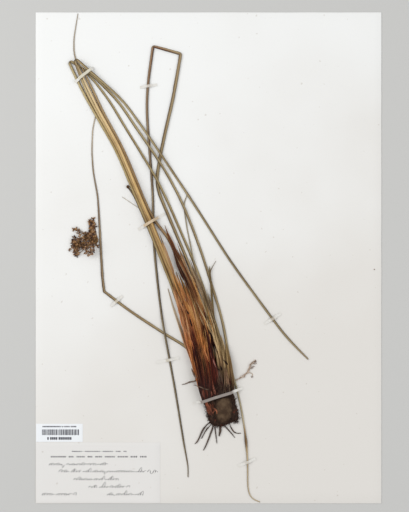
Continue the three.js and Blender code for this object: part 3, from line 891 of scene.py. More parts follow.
STEM_LOOKS = {
    "culm_flowering": [
        (0.0, 100, 76, 50), (0.1, 126, 106, 74), (0.38, 140, 118, 84), (0.43, 108, 82, 54),
        (0.56, 112, 88, 68), (0.7, 116, 92, 78), (0.84, 150, 130, 110), (0.92, 198, 180, 158),
        (1.0, 214, 200, 182),
    ],
    "culm_twice_folded": [
        (0.0, 116, 80, 44), (0.16, 118, 96, 62), (0.26, 116, 98, 66), (0.43, 130, 106, 76),
        (0.452, 112, 66, 44), (0.492, 108, 68, 46), (0.52, 112, 84, 68), (0.6, 94, 70, 58),
        (0.65, 74, 54, 44), (0.78, 68, 53, 40), (0.95, 64, 50, 38), (1.0, 128, 110, 88),
    ],
    "culm_long_tip": [
        (0.0, 128, 104, 64), (0.25, 134, 116, 76), (0.7, 146, 128, 88), (0.84, 156, 138, 102),
        (0.9, 184, 168, 148), (1.0, 204, 192, 176),
    ],
    "culm_bud_stub": [(0.0, 132, 106, 64), (0.7, 124, 98, 64), (1.0, 66, 46, 32)],
    "culm_olive_folded": [
        (0.0, 110, 82, 46), (0.12, 138, 112, 64), (0.3, 172, 150, 98), (0.4, 178, 162, 120),
        (0.43, 132, 112, 74), (0.5, 154, 138, 100), (0.62, 128, 110, 78), (0.72, 126, 108, 76),
        (0.8, 134, 116, 84), (0.865, 150, 140, 112), (0.9, 190, 176, 146), (0.908, 150, 116, 74),
        (0.915, 104, 72, 42), (0.925, 112, 80, 48), (0.931, 196, 172, 132), (1.0, 208, 192, 164),
    ],
    "culm_brown": [
        (0.0, 100, 66, 36), (0.3, 124, 88, 50), (0.5, 140, 104, 64), (0.7, 172, 134, 90),
        (0.9, 186, 156, 114), (1.0, 120, 96, 66),
    ],
    "culm_tan_folded": [
        (0.0, 138, 100, 56), (0.2, 170, 132, 78), (0.36, 206, 176, 124), (0.44, 204, 184, 140),
        (0.47, 140, 116, 78), (0.55, 158, 142, 104), (0.68, 132, 114, 80), (0.8, 116, 100, 70),
        (0.96, 122, 106, 78), (1.0, 150, 130, 104),
    ],
    "culm_gold": [
        (0.0, 136, 92, 48), (0.25, 164, 120, 64), (0.46, 176, 136, 74), (0.58, 208, 170, 106),
        (0.8, 226, 194, 140), (0.94, 222, 198, 156), (1.0, 146, 122, 84),
    ],
    "thin_blade": [(0.0, 150, 138, 110), (1.0, 180, 170, 148)],
    "hair_fibre": [(0.0, 202, 196, 184), (1.0, 210, 206, 196)],
}
STEM_STEP = 0.002
STUB_END = (78.8, 267.4)

# How much of a piece's width is left along it, where it is slimmer than its solid

SLIMMER = {
    "culm_olive_folded": [(0.8, 1.0), (0.86, 0.74), (0.905, 0.7), (0.918, 0.86), (0.931, 0.66), (1.0, 0.8)],
    "sheath_olive_right": [(0.3, 0.9), (0.5, 0.38), (1.0, 0.4)],
    "sheath_grey_pink": [(0.1, 0.6), (0.3, 0.7), (0.45, 1.0)],
    "sheath_rust_broad": [(0.0, 0.5), (0.3, 0.5), (0.45, 0.9), (0.6, 1.0)],
}


def width_left(node, path):
    """The share of a piece's width that is left at each point of its path."""
    at = chord_lengths(path)
    places, shares = zip(*SLIMMER.get(node, [(0, 1.0), (1, 1.0)]))
    return np.interp(at / at[-1], places, shares)


def stems():
    for seed, (node, stops) in enumerate(STEM_LOOKS.items()):
        draw = random.Random(seed)
        centres, widths, heights = stations(node)
        if node == "culm_bud_stub":
            centres = np.vstack([centres, (*on_sheet(*STUB_END), centres[-1][2])])
            widths = np.append(widths, widths[-1] * 0.9)
            heights = np.append(heights, heights[-1] * 0.9)
        flatness = float((heights / widths).mean())
        path, half_widths = smoothed(centres, STEM_STEP, widths)
        half_widths = half_widths * (1 - 0.25 * creases(path)) * width_left(node, path)
        slim = half_widths.max() < 0.0007
        groove = draw.uniform(0.12, 0.42)
        section = stem_section(10 if slim else 20, flatness, 0.03 if slim else 0.055, groove)
        piece = drawn("dried_" + node, path, half_widths, section, uneven(seed * 1.7, 0.10, twist=0.25))
        # The last number shifts each stem's painted highlight and painted shade to one side.
        skin = stem_skin(node + "_skin", chord_lengths(path)[-1], stops, draw.uniform(-0.14, 0.14))
        finished(piece, "fine_growth" if slim else "dried_culm", skin, node)
    stub_bud()


def stub_bud():
    """The swollen dark end of the short stem."""
    low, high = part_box("culm_bud_stub")
    radius = 0.0014
    place = Vector((low.x + radius, high.y - radius, high.z - radius * 0.6))
    deselect()
    bpy.ops.mesh.primitive_uv_sphere_add(segments=18, ring_count=12, radius=radius, location=place)
    bud = placed(bpy.context.object, scale=(1.0, 1.0, 0.6))
    for vert in bud.data.vertices:
        offset = vert.co - place
        furrow = 1 + 0.04 * math.sin(5 * math.atan2(offset.y, offset.x)) + 0.12 * noise.noise(vert.co * 900)
        vert.co = place + offset * furrow
    bud.name = "stub_bud"
    finished(cleaned(bud), "dried_culm", rough_skin("bud_skin", (50, 34, 24), (92, 66, 44), 500.0, 0.00015))


# Sheaths: colours from foot to tip, the colour of the pale margins, how arched and how torn

SHEATH_LOOKS = {
    "grey_pink": ([
        (0.0, 150, 100, 68), (0.1, 206, 150, 108), (0.35, 194, 144, 106), (0.6, 196, 174, 148),
        (0.8, 206, 198, 180), (1.0, 168, 158, 136),
    ], (226, 206, 182), 0.12, 0.3),
    "rust_broad": ([
        (0.0, 88, 44, 26), (0.16, 196, 134, 84), (0.34, 176, 112, 66), (0.5, 150, 88, 54),
        (0.66, 178, 110, 72), (0.82, 182, 124, 82), (1.0, 150, 112, 74),
    ], (226, 170, 116), 0.2, 0.5),
    "rust_brown": ([
        (0.0, 42, 16, 14), (0.22, 62, 24, 18), (0.38, 76, 32, 20), (0.52, 104, 46, 24),
        (0.64, 166, 100, 58), (0.8, 184, 122, 78), (1.0, 170, 122, 82),
    ], (218, 164, 116), 0.2, 0.5),
    "golden_brown": ([
        (0.0, 26, 12, 12), (0.3, 38, 16, 12), (0.44, 72, 34, 18), (0.53, 196, 134, 70),
        (0.7, 184, 126, 66), (0.86, 212, 162, 98), (1.0, 182, 130, 80),
    ], (230, 188, 128), 0.22, 0.4),
    "gold_light": ([
        (0.0, 40, 18, 16), (0.24, 70, 30, 22), (0.36, 120, 60, 36), (0.44, 212, 144, 94),
        (0.6, 210, 146, 88), (0.78, 214, 170, 112), (1.0, 156, 112, 68),
    ], (240, 200, 142), 0.22, 0.45),
    "dark_long": ([
        (0.0, 46, 18, 16), (0.18, 60, 24, 18), (0.3, 92, 50, 28), (0.42, 152, 106, 64), (0.6, 140, 96, 60),
        (0.75, 120, 76, 42), (0.88, 100, 60, 32), (0.95, 112, 74, 44), (1.0, 150, 128, 104),
    ], (170, 122, 80), 0.22, 0.4),
    "dark_red": ([
        (0.0, 38, 20, 18), (0.3, 54, 24, 22), (0.6, 62, 18, 13), (0.8, 66, 24, 15), (1.0, 44, 18, 8),
    ], (144, 64, 40), 0.2, 0.4),
    "red_brown": ([
        (0.0, 42, 24, 20), (0.4, 54, 28, 23), (0.7, 80, 34, 25), (1.0, 200, 128, 88),
    ], (152, 78, 54), 0.2, 0.5),
    "purple_short": ([
        (0.0, 42, 24, 20), (0.35, 44, 20, 17), (0.65, 40, 14, 11), (0.85, 60, 24, 16), (1.0, 110, 46, 30),
    ], (110, 50, 36), 0.2, 0.4),
    "grey_cut": ([
        (0.0, 34, 23, 20), (0.35, 58, 42, 36), (0.8, 96, 78, 70), (1.0, 34, 24, 20),
    ], (136, 114, 100), 0.14, 0.7),
    "pink_right": ([
        (0.0, 36, 22, 18), (0.3, 58, 38, 30), (0.4, 126, 98, 80), (0.75, 128, 100, 78), (1.0, 70, 38, 26),
    ], (190, 164, 138), 0.14, 0.6),
    "brown_right": ([
        (0.0, 58, 38, 24), (0.3, 86, 62, 38), (0.7, 122, 98, 62), (1.0, 152, 134, 94),
    ], (180, 156, 116), 0.2, 0.3),
    "olive_middle": ([
        (0.0, 58, 40, 30), (0.16, 92, 70, 50), (0.3, 128, 100, 72), (0.46, 150, 122, 80),
        (0.62, 112, 92, 54), (0.8, 136, 116, 78), (1.0, 164, 148, 114),
    ], (206, 184, 140), 0.2, 0.3),
    "olive_right": ([
        (0.0, 86, 64, 42), (0.25, 116, 92, 62), (0.45, 138, 116, 78), (0.62, 128, 110, 72),
        (0.82, 140, 124, 86), (1.0, 160, 146, 110),
    ], (206, 188, 146), 0.2, 0.3),
    "cream_thin": ([
        (0.0, 150, 118, 86), (0.4, 214, 188, 146), (1.0, 196, 166, 122),
    ], (232, 214, 178), 0.2, 0.2),
}
SHEATH_STEP = 0.0012
SHARP = math.radians(50)
STRIP = [(1, 0), (0.5, -0.18), (-0.5, -0.18), (-1, 0), (-0.5, 0.3), (0.5, 0.3)]
NARROW = blade_section(0.14, 0.12, 0.02)
PILE_CORNERS = (104, 64), (174, 237)


def sheaths():
    """The wide sheaths first, then the narrow blades and split strips laid on the pile that they make."""
    blades = {}
    for seed, (name, (_, _, arch, tear)) in enumerate(SHEATH_LOOKS.items()):
        draw = random.Random(40 + seed)
        centres, widths, _ = stations("sheath_" + name)
        path, half_widths = smoothed(centres, SHEATH_STEP, widths)
        left = width_left("sheath_" + name, path)
        shift = 1 if name == "grey_pink" else -1
        path[:, :2] += shift * sideways(path) * (half_widths * (1 - left))[:, None]
        half_widths = half_widths * left
        section = blade_section(arch, 0.09, 0.016, draw.uniform(-0.08, 0.12))
        label = "papery_sheath_" + name
        blade = drawn(label, path, half_widths, section, torn(seed * 2.3, tear), smooth_angle=SHARP)
        blades[name] = (blade, path, half_widths)
    forked_sheath()
    pile = Pile(*PILE_CORNERS)
    tuft_blades(pile)
    for name, (stops, margin, _, _) in SHEATH_LOOKS.items():
        blade, path, half_widths = blades[name]
        strips = split_strips(path, half_widths, pile, random.Random(name))
        skin = sheath_skin("sheath_" + name + "_skin", chord_lengths(path)[-1], stops, margin)
        whole = joined("papery_sheath_" + name, [blade, *strips])
        finished(whole, "sheath_skin", skin, "sheath_" + name)
    rust_scales(pile)
    return pile


def split_strips(path, half_widths, pile, draw):
    """Strips that have split from a sheath and lie along it, each a little paler or darker."""
    at = chord_lengths(path)
    side = sideways(path)
    strips = []
    t = np.linspace(0, 1, 18)
    for _ in range(max(3, int(half_widths.max() * 3500))):
        start = draw.uniform(0.05, 0.6)
        stop = min(1.0, start + draw.uniform(0.2, 0.55))
        along = np.linspace(start, stop, 18) * at[-1]
        place = read_off(along, at, path)
        share = draw.uniform(-0.8, 0.8) + draw.uniform(-0.35, 0.35) * t * t
        place[:, :2] += read_off(along, at, side) * (share * np.interp(along, at, half_widths))[:, None]
        half = draw.uniform(0.00014, 0.0004) * np.maximum(np.sin(math.pi * t), 0.06)
        pile.lay(place, half, 0.3)
        tone = draw.choice([-1, -0.8, -0.5, 0.3, 0.6, 0.9])
        strips.append(drawn("strip", place, half, STRIP, span=(start, stop), tone=tone))
    return strips


# Narrow blades by kind: its colours, its pale margin, and each blade's foot, tip, width and tone

TUFT_BLADES = {
    "maroon": ([(0.0, 34, 12, 10), (0.5, 56, 15, 10), (1.0, 44, 14, 6)], (120, 44, 30), [
        (141.5, 95, 134.3, 132, 2.2, -0.2), (146, 93, 137.5, 136, 2.4, -0.6),
        (149, 92, 145.2, 134.5, 2.0, 0.2), (152.3, 93.6, 148.6, 141, 2.0, -0.5),
        (143.2, 98, 139.3, 126, 1.2, 0.5), (155.6, 97, 151.6, 128, 1.3, -0.3),
        (139.8, 92, 136.4, 118, 1.4, -0.8), (150.6, 96, 147.8, 120, 1.0, 0.6),
        (147.2, 100, 142.4, 130, 1.1, -0.8), (135.6, 122, 130.4, 146, 2.2, 0.1),
        (137.6, 124, 132.8, 148, 1.6, -0.4), (140.4, 120, 137.6, 137, 1.8, -0.6),
        (143.8, 118, 142.2, 133, 1.4, -0.7), (147.4, 120, 145, 138, 1.2, -0.5),
        (151.2, 130, 147.6, 153, 1.3, -0.9), (158.3, 96, 156.6, 108, 1.8, -0.6),
        (162, 96, 161.6, 100.4, 1.6, -0.9), (154.3, 94.4, 153.4, 105, 1.6, -0.8),
        (165.2, 99, 163.6, 110, 1.2, -0.5), (135.6, 171, 116.6, 214, 2.0, -0.9),
        # The second blade on this line lies on a dark torn spot. The first on the next line is painted shade in
        # a dark crack between blades.
        (153, 131, 150.2, 150, 0.9, -0.8), (129.4, 161.4, 126, 166.2, 1.7, -1.0),
        (132.4, 149.5, 129.8, 158.5, 0.7, -1.0), (156.4, 122, 146, 150, 0.8, -1.0),
        (150.4, 127, 146.6, 142, 1.2, -1.0),
    ]),
    "rust": ([(0.0, 104, 48, 28), (0.5, 146, 80, 44), (1.0, 130, 92, 54)], (204, 136, 88), [
        (131.5, 138, 123.6, 170, 1.6, 0.2), (136.8, 140, 130.6, 164, 1.3, -0.5),
        (128, 148, 118.4, 186, 1.4, 0.0), (142.8, 138, 139, 160, 1.1, -0.6),
        (134, 162, 124, 190, 1.3, -0.7), (139.5, 158, 128.6, 188, 1.2, -0.9),
        (145.5, 152, 134.5, 190, 1.1, -1.0), (126.6, 166, 114.6, 200, 1.1, -0.5),
        (138.5, 172, 119.5, 216, 2.0, -0.8), (136.2, 176, 117.4, 219, 1.4, -0.4),
        (141.6, 166, 131, 200, 1.2, -0.6), (136, 156, 126.4, 187, 1.3, 0.6),
        (142.4, 148, 134.6, 178, 1.1, -0.2),
    ]),
    "olive": ([(0.0, 90, 66, 42), (0.4, 146, 118, 78), (1.0, 160, 140, 100)], (220, 198, 152), [
        (161, 112, 157.6, 138, 1.3, 0.4), (156.6, 122, 150.2, 156, 1.2, -0.2),
        (164, 104, 160.5, 138, 1.4, 0.1), (154.5, 132, 147, 168, 1.1, 0.3),
        (151.6, 144, 140.2, 190, 0.9, 0.5), (157.6, 126, 153.6, 144, 0.8, 0.7),
        (156.2, 124, 152.4, 146, 0.9, 0.9), (148.6, 148, 143.4, 168, 1.6, -0.5),
        (147.4, 151, 142, 172, 1.3, -0.7), (152.6, 144, 147.4, 166, 1.2, -1.0),
        (150.6, 144, 145.8, 158, 1.0, -1.0), (152.4, 148, 146.6, 170, 0.9, -0.9),
        (155.4, 140, 151, 160, 0.9, -0.9),
    ]),
    "beige": ([(0.0, 112, 90, 60), (0.5, 146, 124, 98), (1.0, 164, 148, 126)], (204, 188, 162), [
        (149.6, 157, 133, 204, 2.2, 0.0), (151, 155, 136, 198, 2.0, 0.3),
        (147.6, 160, 130.4, 208, 1.8, -0.4), (151.2, 150, 139.6, 184, 1.6, 0.4),
        (145.6, 163, 128.4, 209, 1.4, 0.3), (149.6, 158, 138.2, 192, 1.2, -0.7),
        (153, 150, 144, 172, 1.6, -0.5), (151.8, 158, 146, 178, 1.2, -0.2),
    ]),
    "red": ([(0.0, 64, 30, 27), (0.5, 86, 44, 40), (1.0, 150, 88, 64)], (150, 98, 86), [
        (144, 94, 141, 123, 1.0, 0.0), (151, 93.4, 149.8, 105, 1.4, 0.4), (148, 96, 145.6, 118, 0.9, 0.1),
        (143.2, 90, 141.8, 98, 1.2, 0.3), (156, 99, 153.2, 116, 0.8, 0.5),
        (138.6, 104, 135.2, 122, 0.9, -0.2), (148.8, 134, 145, 150, 1.0, 0.2),
        (146, 90.4, 144.8, 99, 0.8, 0.6),
    ]),
    "gold": ([(0.0, 192, 116, 64), (0.4, 198, 138, 78), (1.0, 186, 148, 92)], (240, 198, 134), [
        (141.6, 121, 138.2, 152, 2.2, 0.4), (145.2, 118, 141.8, 147, 1.3, 0.3),
        (147, 119.5, 143, 150, 1.1, 0.6), (139, 131, 135.4, 160, 1.6, 0.1),
        (133.4, 121, 128.4, 150, 1.5, 0.3), (141, 150, 130.5, 186, 1.3, 0.4),
        (150, 146, 141, 184, 0.8, 0.6), (134.4, 148, 124.2, 186, 1.3, -0.1),
        (146.5, 142, 136.4, 182, 0.9, 0.7), (138.2, 142, 129.6, 176, 1.1, -0.4),
        (131, 158, 119.6, 196, 1.1, 0.2), (141.5, 170, 122.5, 212, 0.8, 0.6),
        (125.6, 176, 112.6, 206, 1.0, 0.3), (144, 160, 126.5, 205, 0.8, 0.8),
        (148.4, 136, 144.6, 160, 0.7, 0.9), (124, 172, 111.6, 204, 1.0, 0.5),
        (134.6, 156, 124.6, 182, 0.8, 0.9), (145.4, 150, 137.2, 178, 0.7, 1.0),
        (136.8, 150, 128.6, 178, 0.7, 0.9), (130.2, 150, 122, 178, 0.8, 0.8),
        (152.6, 134, 147.4, 160, 0.7, 0.8),
    ]),
    "peach": ([(0.0, 168, 100, 62), (0.5, 206, 144, 98), (1.0, 202, 158, 118)], (244, 206, 166), [
        (138.4, 101, 131.8, 131, 1.3, 0.4), (133.6, 118, 125.6, 150, 1.4, 0.0),
        (136.9, 107, 130.4, 134, 1.0, 1.0), (121.6, 163, 115.8, 184, 1.3, 1.0),
        (134.4, 131.2, 122.2, 163, 1.3, 0.7), (136.6, 112.6, 127, 137.6, 1.2, 1.0),
        (146.9, 120, 142.3, 132.4, 1.1, 0.3), (126.6, 160, 120.4, 178, 1.1, 0.2),
        (130.2, 130, 122.4, 162, 1.1, 0.4), (135.8, 104, 129.8, 134, 0.9, 0.8),
        (127.6, 146, 119.8, 178, 0.9, 0.3), (132.4, 136, 127, 160, 0.8, 0.9),
        (138.6, 146, 133, 170, 0.8, 0.7), (131.4, 166, 124, 186, 0.8, 0.5),
    ]),
    "cream": ([(0.0, 176, 148, 110), (0.4, 222, 196, 148), (1.0, 206, 178, 132)], (240, 224, 188), [
        (158, 117.5, 146.4, 158, 1.1, 0.3), (146.8, 157, 136.2, 184, 0.8, 0.6),
        (156.2, 127, 150.6, 155, 0.9, 0.5), (161.2, 112, 157.4, 137, 0.8, 0.2),
        (153.6, 141, 148.4, 160, 0.6, 0.8), (151.2, 150, 141.8, 177, 0.6, 0.8),
        (160.4, 118, 157, 136, 0.6, 0.7), (137.6, 183, 121.6, 211, 0.7, -0.2),
        (160.8, 128, 156.9, 143, 1.5, 0.7), (154.7, 128, 150.4, 143, 1.0, 0.5),
        (142.7, 150.6, 135.4, 168, 0.9, 0.6), (153, 136.8, 145.8, 156.4, 0.8, 0.8),
        (138.4, 160, 131.6, 176, 0.6, 0.4),
    ]),
    "brown": ([(0.0, 70, 36, 18), (0.5, 96, 54, 28), (1.0, 132, 90, 58)], (172, 122, 80), [
        (122.2, 205, 110, 233.4, 2.8, -0.1), (125.6, 189, 116.6, 213, 1.9, -1.0),
        (128.6, 176, 121.6, 193, 1.2, -0.6),
    ]),
    "ochre": ([(0.0, 150, 84, 46), (0.45, 172, 112, 66), (0.7, 162, 126, 74), (1.0, 142, 114, 68)],
              (204, 158, 104), [
        (130, 168, 118.6, 197.5, 1.6, -0.4), (132, 170, 120.6, 196, 1.4, 0.1),
        (129.4, 160, 117.4, 192, 1.3, -0.4), (128.4, 172, 118.4, 196, 1.2, 0.5),
        (133.6, 164, 122.6, 191, 1.3, 0.3), (141.2, 141, 136.6, 158, 1.0, 0.6),
    ]),
    "straw": ([(0.0, 146, 112, 80), (0.5, 184, 154, 120), (1.0, 176, 150, 112)], (214, 190, 158), [
        (118.4, 192, 104.6, 229.5, 2.2, 0.0), (132, 188, 119.6, 221, 2.0, -0.2),
        (134.6, 182, 125.4, 205, 1.3, -0.5), (132, 183.6, 118.1, 211.2, 1.0, -0.5),
    ]),
    "rose": ([(0.0, 118, 70, 66), (0.35, 184, 128, 124), (1.0, 108, 58, 52)], (218, 172, 164), [
        (152.3, 92.8, 150.3, 101.8, 1.5, 0.3), (149.4, 91.8, 148.6, 97.4, 0.9, -0.3),
        (153.4, 115, 146, 133, 0.9, 0.1), (142.4, 90.6, 140.9, 97.6, 0.9, -0.9),
    ]),
    # Umber: near-black slivers, partly on dark torn spots and edges and partly painted shade in the cracks
    # between blades.
    "umber": ([(0.0, 34, 16, 10), (0.5, 42, 20, 12), (1.0, 50, 26, 16)], (90, 50, 34), [
        (130.2, 160.4, 126.4, 165.8, 1.2, -0.6), (132.8, 150.6, 130.4, 158.6, 0.7, -0.6),
        (149.8, 140, 144.8, 150.4, 1.1, -0.7), (158, 113, 156, 117.4, 1.7, -0.9),
        (156.6, 113.2, 152.8, 115.8, 1.1, -0.9), (163, 117.6, 158.4, 122.8, 1.2, -0.8),
        (153.8, 94, 152.4, 112, 0.8, -0.9), (159.4, 99.6, 158.6, 112, 0.7, -0.8),
        (143.6, 112, 140.6, 128, 0.8, -0.8),
    ]),
}


def bowed(foot, tip, bow, steps):
    """Shares from 0 to 1, and the places from foot to tip on the sheet, bowed by a share of the way."""
    t = np.linspace(0, 1, steps)
    xs = foot[0] + (tip[0] - foot[0]) * t + bow * np.sin(math.pi * t) * math.dist(foot, tip)
    ys = foot[1] + (tip[1] - foot[1]) * t
    return t, np.array([(*on_sheet(x, y), 0.0) for x, y in zip(xs, ys)])


def tuft_blades(pile):
    """Lays the narrow blades on the pile in the order of their table; tone 1 is pale and -1 dark."""
    for kind, (stops, margin, rows) in TUFT_BLADES.items():
        blades = []
        for *ends, width, tone in rows:
            foot, tip = tuple(ends[:2]), tuple(ends[2:])
            t, route = bowed(foot, tip, random.Random(f"{foot} {tip}").uniform(-0.012, 0.012), 16)
            path, shares = smoothed(route, SHEATH_STEP, t)
            half = width * MM / 2 * np.minimum(1.0, np.minimum(shares * 5 + 0.1, (1 - shares) * 2.2 + 0.04))
            pile.lay(path, half, 0.14)
            shape = torn(width + foot[0], 0.2)
            blades.append(drawn("blade", path, half, NARROW, shape, tone=tone, smooth_angle=SHARP))
        skin = sheath_skin(kind + "_blade_skin", 0.035, stops, margin)
        finished(joined("tuft_blades_" + kind, blades), "sheath_skin", skin)


RUST_SCALES = [
    (143.2, 86.6, 147.2, 79.4, 2.4, -0.9), (146.6, 86, 148.4, 78.6, 1.8, 0.4),
    (143.2, 84.4, 149.6, 80.2, 1.3, 1.0), (149.4, 86.4, 150.6, 80, 1.6, -1.0),
    (144.4, 82.4, 147.4, 76, 1.9, 0.1), (148.6, 82.6, 153.2, 76.6, 1.5, 0.9),
    (146.4, 79.6, 147.8, 75.2, 1.6, -0.8), (151.4, 84.6, 151.4, 77.6, 1.0, -0.2),
    (149.8, 79.8, 146.2, 77.2, 0.9, 0.8), (152.6, 80.6, 149.8, 76, 1.1, 0.5),
]


def rust_scales(pile):
    """The curled rusty scales at the foot of the tuft, below the strap."""
    node = "sheath_rust_scale"
    draw = random.Random(19)
    centres, widths, _ = stations(node)
    path, half_widths = smoothed(centres, 0.0008, widths * 0.5)
    wide = blade_section(0.3, 0.14, 0.03, 0.2)
    scales = [drawn("scale", path, half_widths, wide, torn(5.0, 1.2, 0.3), tone=-0.3, smooth_angle=SHARP)]
    for *ends, width, tone in RUST_SCALES:
        t, place = bowed(ends[:2], ends[2:], draw.uniform(-0.28, 0.28), 9)
        half = width * MM / 3 * np.sin(math.pi * (0.12 + 0.8 * t)) ** 0.7
        pile.lay(place, half, 0.3)
        shape = torn(ends[0], 1.3, 0.3)
        scales.append(drawn("scale", place, half, wide, shape, tone=tone, smooth_angle=SHARP))
    stops = [(0.0, 48, 23, 19), (0.3, 108, 56, 44), (0.65, 158, 90, 70), (1.0, 78, 38, 30)]
    skin = sheath_skin("rust_scale_skin", 0.016, stops, (212, 140, 108))
    finished(joined("papery_rust_scales", scales), "sheath_skin", skin, node)


FORK_STEM = [(158, 125), (154, 140), (151.5, 152), (149.6, 172), (148.4, 188), (147.5, 196), (147.2, 201)]
FORK_TIP = [(148.3, 189), (148, 196), (149.6, 200), (152.9, 205.5)]
FORK_ARMS = [
    ("fork_stem", FORK_STEM, [(0, 2.7), (0.5, 1.9), (0.9, 1.3), (1, 0.3)]),
    ("fork_tip", FORK_TIP, [(0, 1.3), (0.5, 0.8), (1, 0.3)]),
]


def branch_of(name, route, widths, node, section, step=0.0015):
    """One arm of a branching solid, drawn along its own route on the solid's upper side."""
    places = laid(route, tree_of(node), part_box(node)[0].z + 0.0002, -0.00015)
    path, shares = smoothed(places, step, np.linspace(0, 1, len(places)))
    at, wide = zip(*widths)
    return drawn(name, path, np.interp(shares, at, wide) * MM / 2, section)


def forked_sheath():
    section = blade_section(0.2, 0.16, 0.02)
    arms = [branch_of(*arm, "sheath_forked", section) for arm in FORK_ARMS]
    stops = [(0.0, 122, 104, 70), (0.5, 112, 98, 64), (0.9, 106, 92, 62), (1.0, 150, 140, 112)]
    skin = sheath_skin("forked_sheath_skin", 0.08, stops, (176, 160, 124))
    finished(joined("papery_sheath_forked", arms), "sheath_skin", skin, "sheath_forked")


# The root crown, its roots and the soil that clings to it. Below ROOT_TOP there are roots only

ROOT_TOP = 66.0
SOIL_MIDDLE = (159.3, 80.0)
SOIL_RADII = (7.4, 12.0)
VOXEL = 0.00028
CROWN_CEILING = 0.0094


def weathered(name, node, lumps, firm_below=None):
    """A finer copy of a solid, remeshed and roughened by each (size, depth) of lump in turn.

    Below the height on the sheet given as firm_below, the lumps are only a seventh as deep.
    """
    solid = merged(node)
    mesh = bpy.data.meshes.new(name)
    solid.to_mesh(mesh)
    solid.free()
    piece = bpy.data.objects.new(name, mesh)
    bpy.context.scene.collection.objects.link(piece)
    applied(piece, "REMESH", mode="VOXEL", voxel_size=VOXEL)
    applied(piece, "SMOOTH", factor=0.5, iterations=4)
    group, thin = (piece.vertex_groups.new(name=word) for word in ("lumps", "thin"))
    for vert in piece.data.vertices:
        share = 1.0
        if firm_below is not None:
            high = (vert.co.y - SHEET_LOW.y) / MM - firm_below
            share = min(1.0, max(0.14, high / 3))
            thin.add([vert.index], min(1.0, max(0.0, -high / 2)), "REPLACE")
        group.add([vert.index], share, "REPLACE")
    applied(piece, "DISPLACE", strength=0.00028, mid_level=0.0, vertex_group="thin")
    for size, depth in lumps:
        pattern = bpy.data.textures.new(name, "CLOUDS")
        pattern.noise_scale = size
        pattern.noise_depth = 2
        settings = {"texture": pattern, "texture_coords": "LOCAL", "mid_level": 0.5}
        applied(piece, "DISPLACE", strength=depth, vertex_group="lumps", **settings)
    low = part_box(node)[0].z
    for vert in piece.data.vertices:
        vert.co.z = min(max(vert.co.z, low), CROWN_CEILING)
    return cleaned(piece)


def crown_and_soil():
    crown = weathered("rootstock", "root_crown", [(0.0030, 0.0013), (0.0009, 0.0007)], ROOT_TOP)
    finished(crown, "root", rootstock_skin(), "root_crown")
    soil = weathered("clinging_soil", "soil_clod", [(0.0042, 0.0010), (0.0011, 0.0005)])
    finished(joined("clinging_soil", [soil, *crumbs(soil)]), "soil", soil_skin(), "soil_clod")


def crumbs(soil):
    """Loose grains half sunk in the soil."""
    draw = random.Random(8)
    upper = [p for p in soil.data.polygons if p.normal.z > 0.2]
    grains = []
    for face in draw.sample(upper, 260):
        deselect()
        bpy.ops.mesh.primitive_ico_sphere_add(subdivisions=1, radius=1, location=face.center)
        size = draw.uniform(0.00016, 0.00042)
        scale = (size * draw.uniform(0.8, 1.3), size * draw.uniform(0.8, 1.3), size * 0.8)
        turn = [draw.random() * 3 for _ in range(3)]
        grains.append(placed(bpy.context.object, scale=scale, rotation_euler=turn))
    return grains


SHOOT = [(169.1, 104.2), (173.3, 106.4), (178.2, 109.8), (180.8, 113.4), (182.4, 118.3), (186.6, 121.4)]
HOOK = [(179.6, 111.2), (183.6, 109.8), (183.2, 106.8)]
SHOOT_LOOPS = [
    (185.4, 118.4, 1.5), (186.4, 120.6, 1.2), (183.3, 107.6, 1.0), (183, 114.6, 1.3), (184.8, 116.2, 1.0),
]
FLECK = (286.5, 198.0)


def growths(pile):
    """The rootlets, the spur and the withered shoot beside the crown, and one fleck far from them."""
    x, y = on_sheet(*FLECK)
    line = [((x + 0.0002 * k, y + 0.0001 * k, PAPER_TOP + 0.0003), 0.0003) for k in range(5)]
    fleck = rough_skin("fleck_skin", (84, 56, 32), (140, 104, 66), 900.0, 0.0001)
    finished(fibres("stray_fleck", [line]), "fine_growth", fleck)
    dull = rough_skin("rootlet_skin", (74, 56, 46), (132, 112, 96), 500.0, 0.0002)
    section = stem_section(8, 0.7, 0.05, 0.1)
    for seed, node in enumerate(("rootlet_left", "rootlet_over_base", "spur_left")):
        centres, widths, _ = stations(node)
        path, half_widths = smoothed(centres, 0.0007, widths)
        if node != "rootlet_left":
            pile.lay(path, half_widths, 0.7, lift=0.00025)
            path[:, 2] = np.minimum(path[:, 2], Pile.CEILING - half_widths)
        piece = drawn("dried_" + node, path, half_widths, section, uneven(seed + 60, 0.35, 3.0))
        finished(piece, "root", dull, node)
    withered_shoot(section)


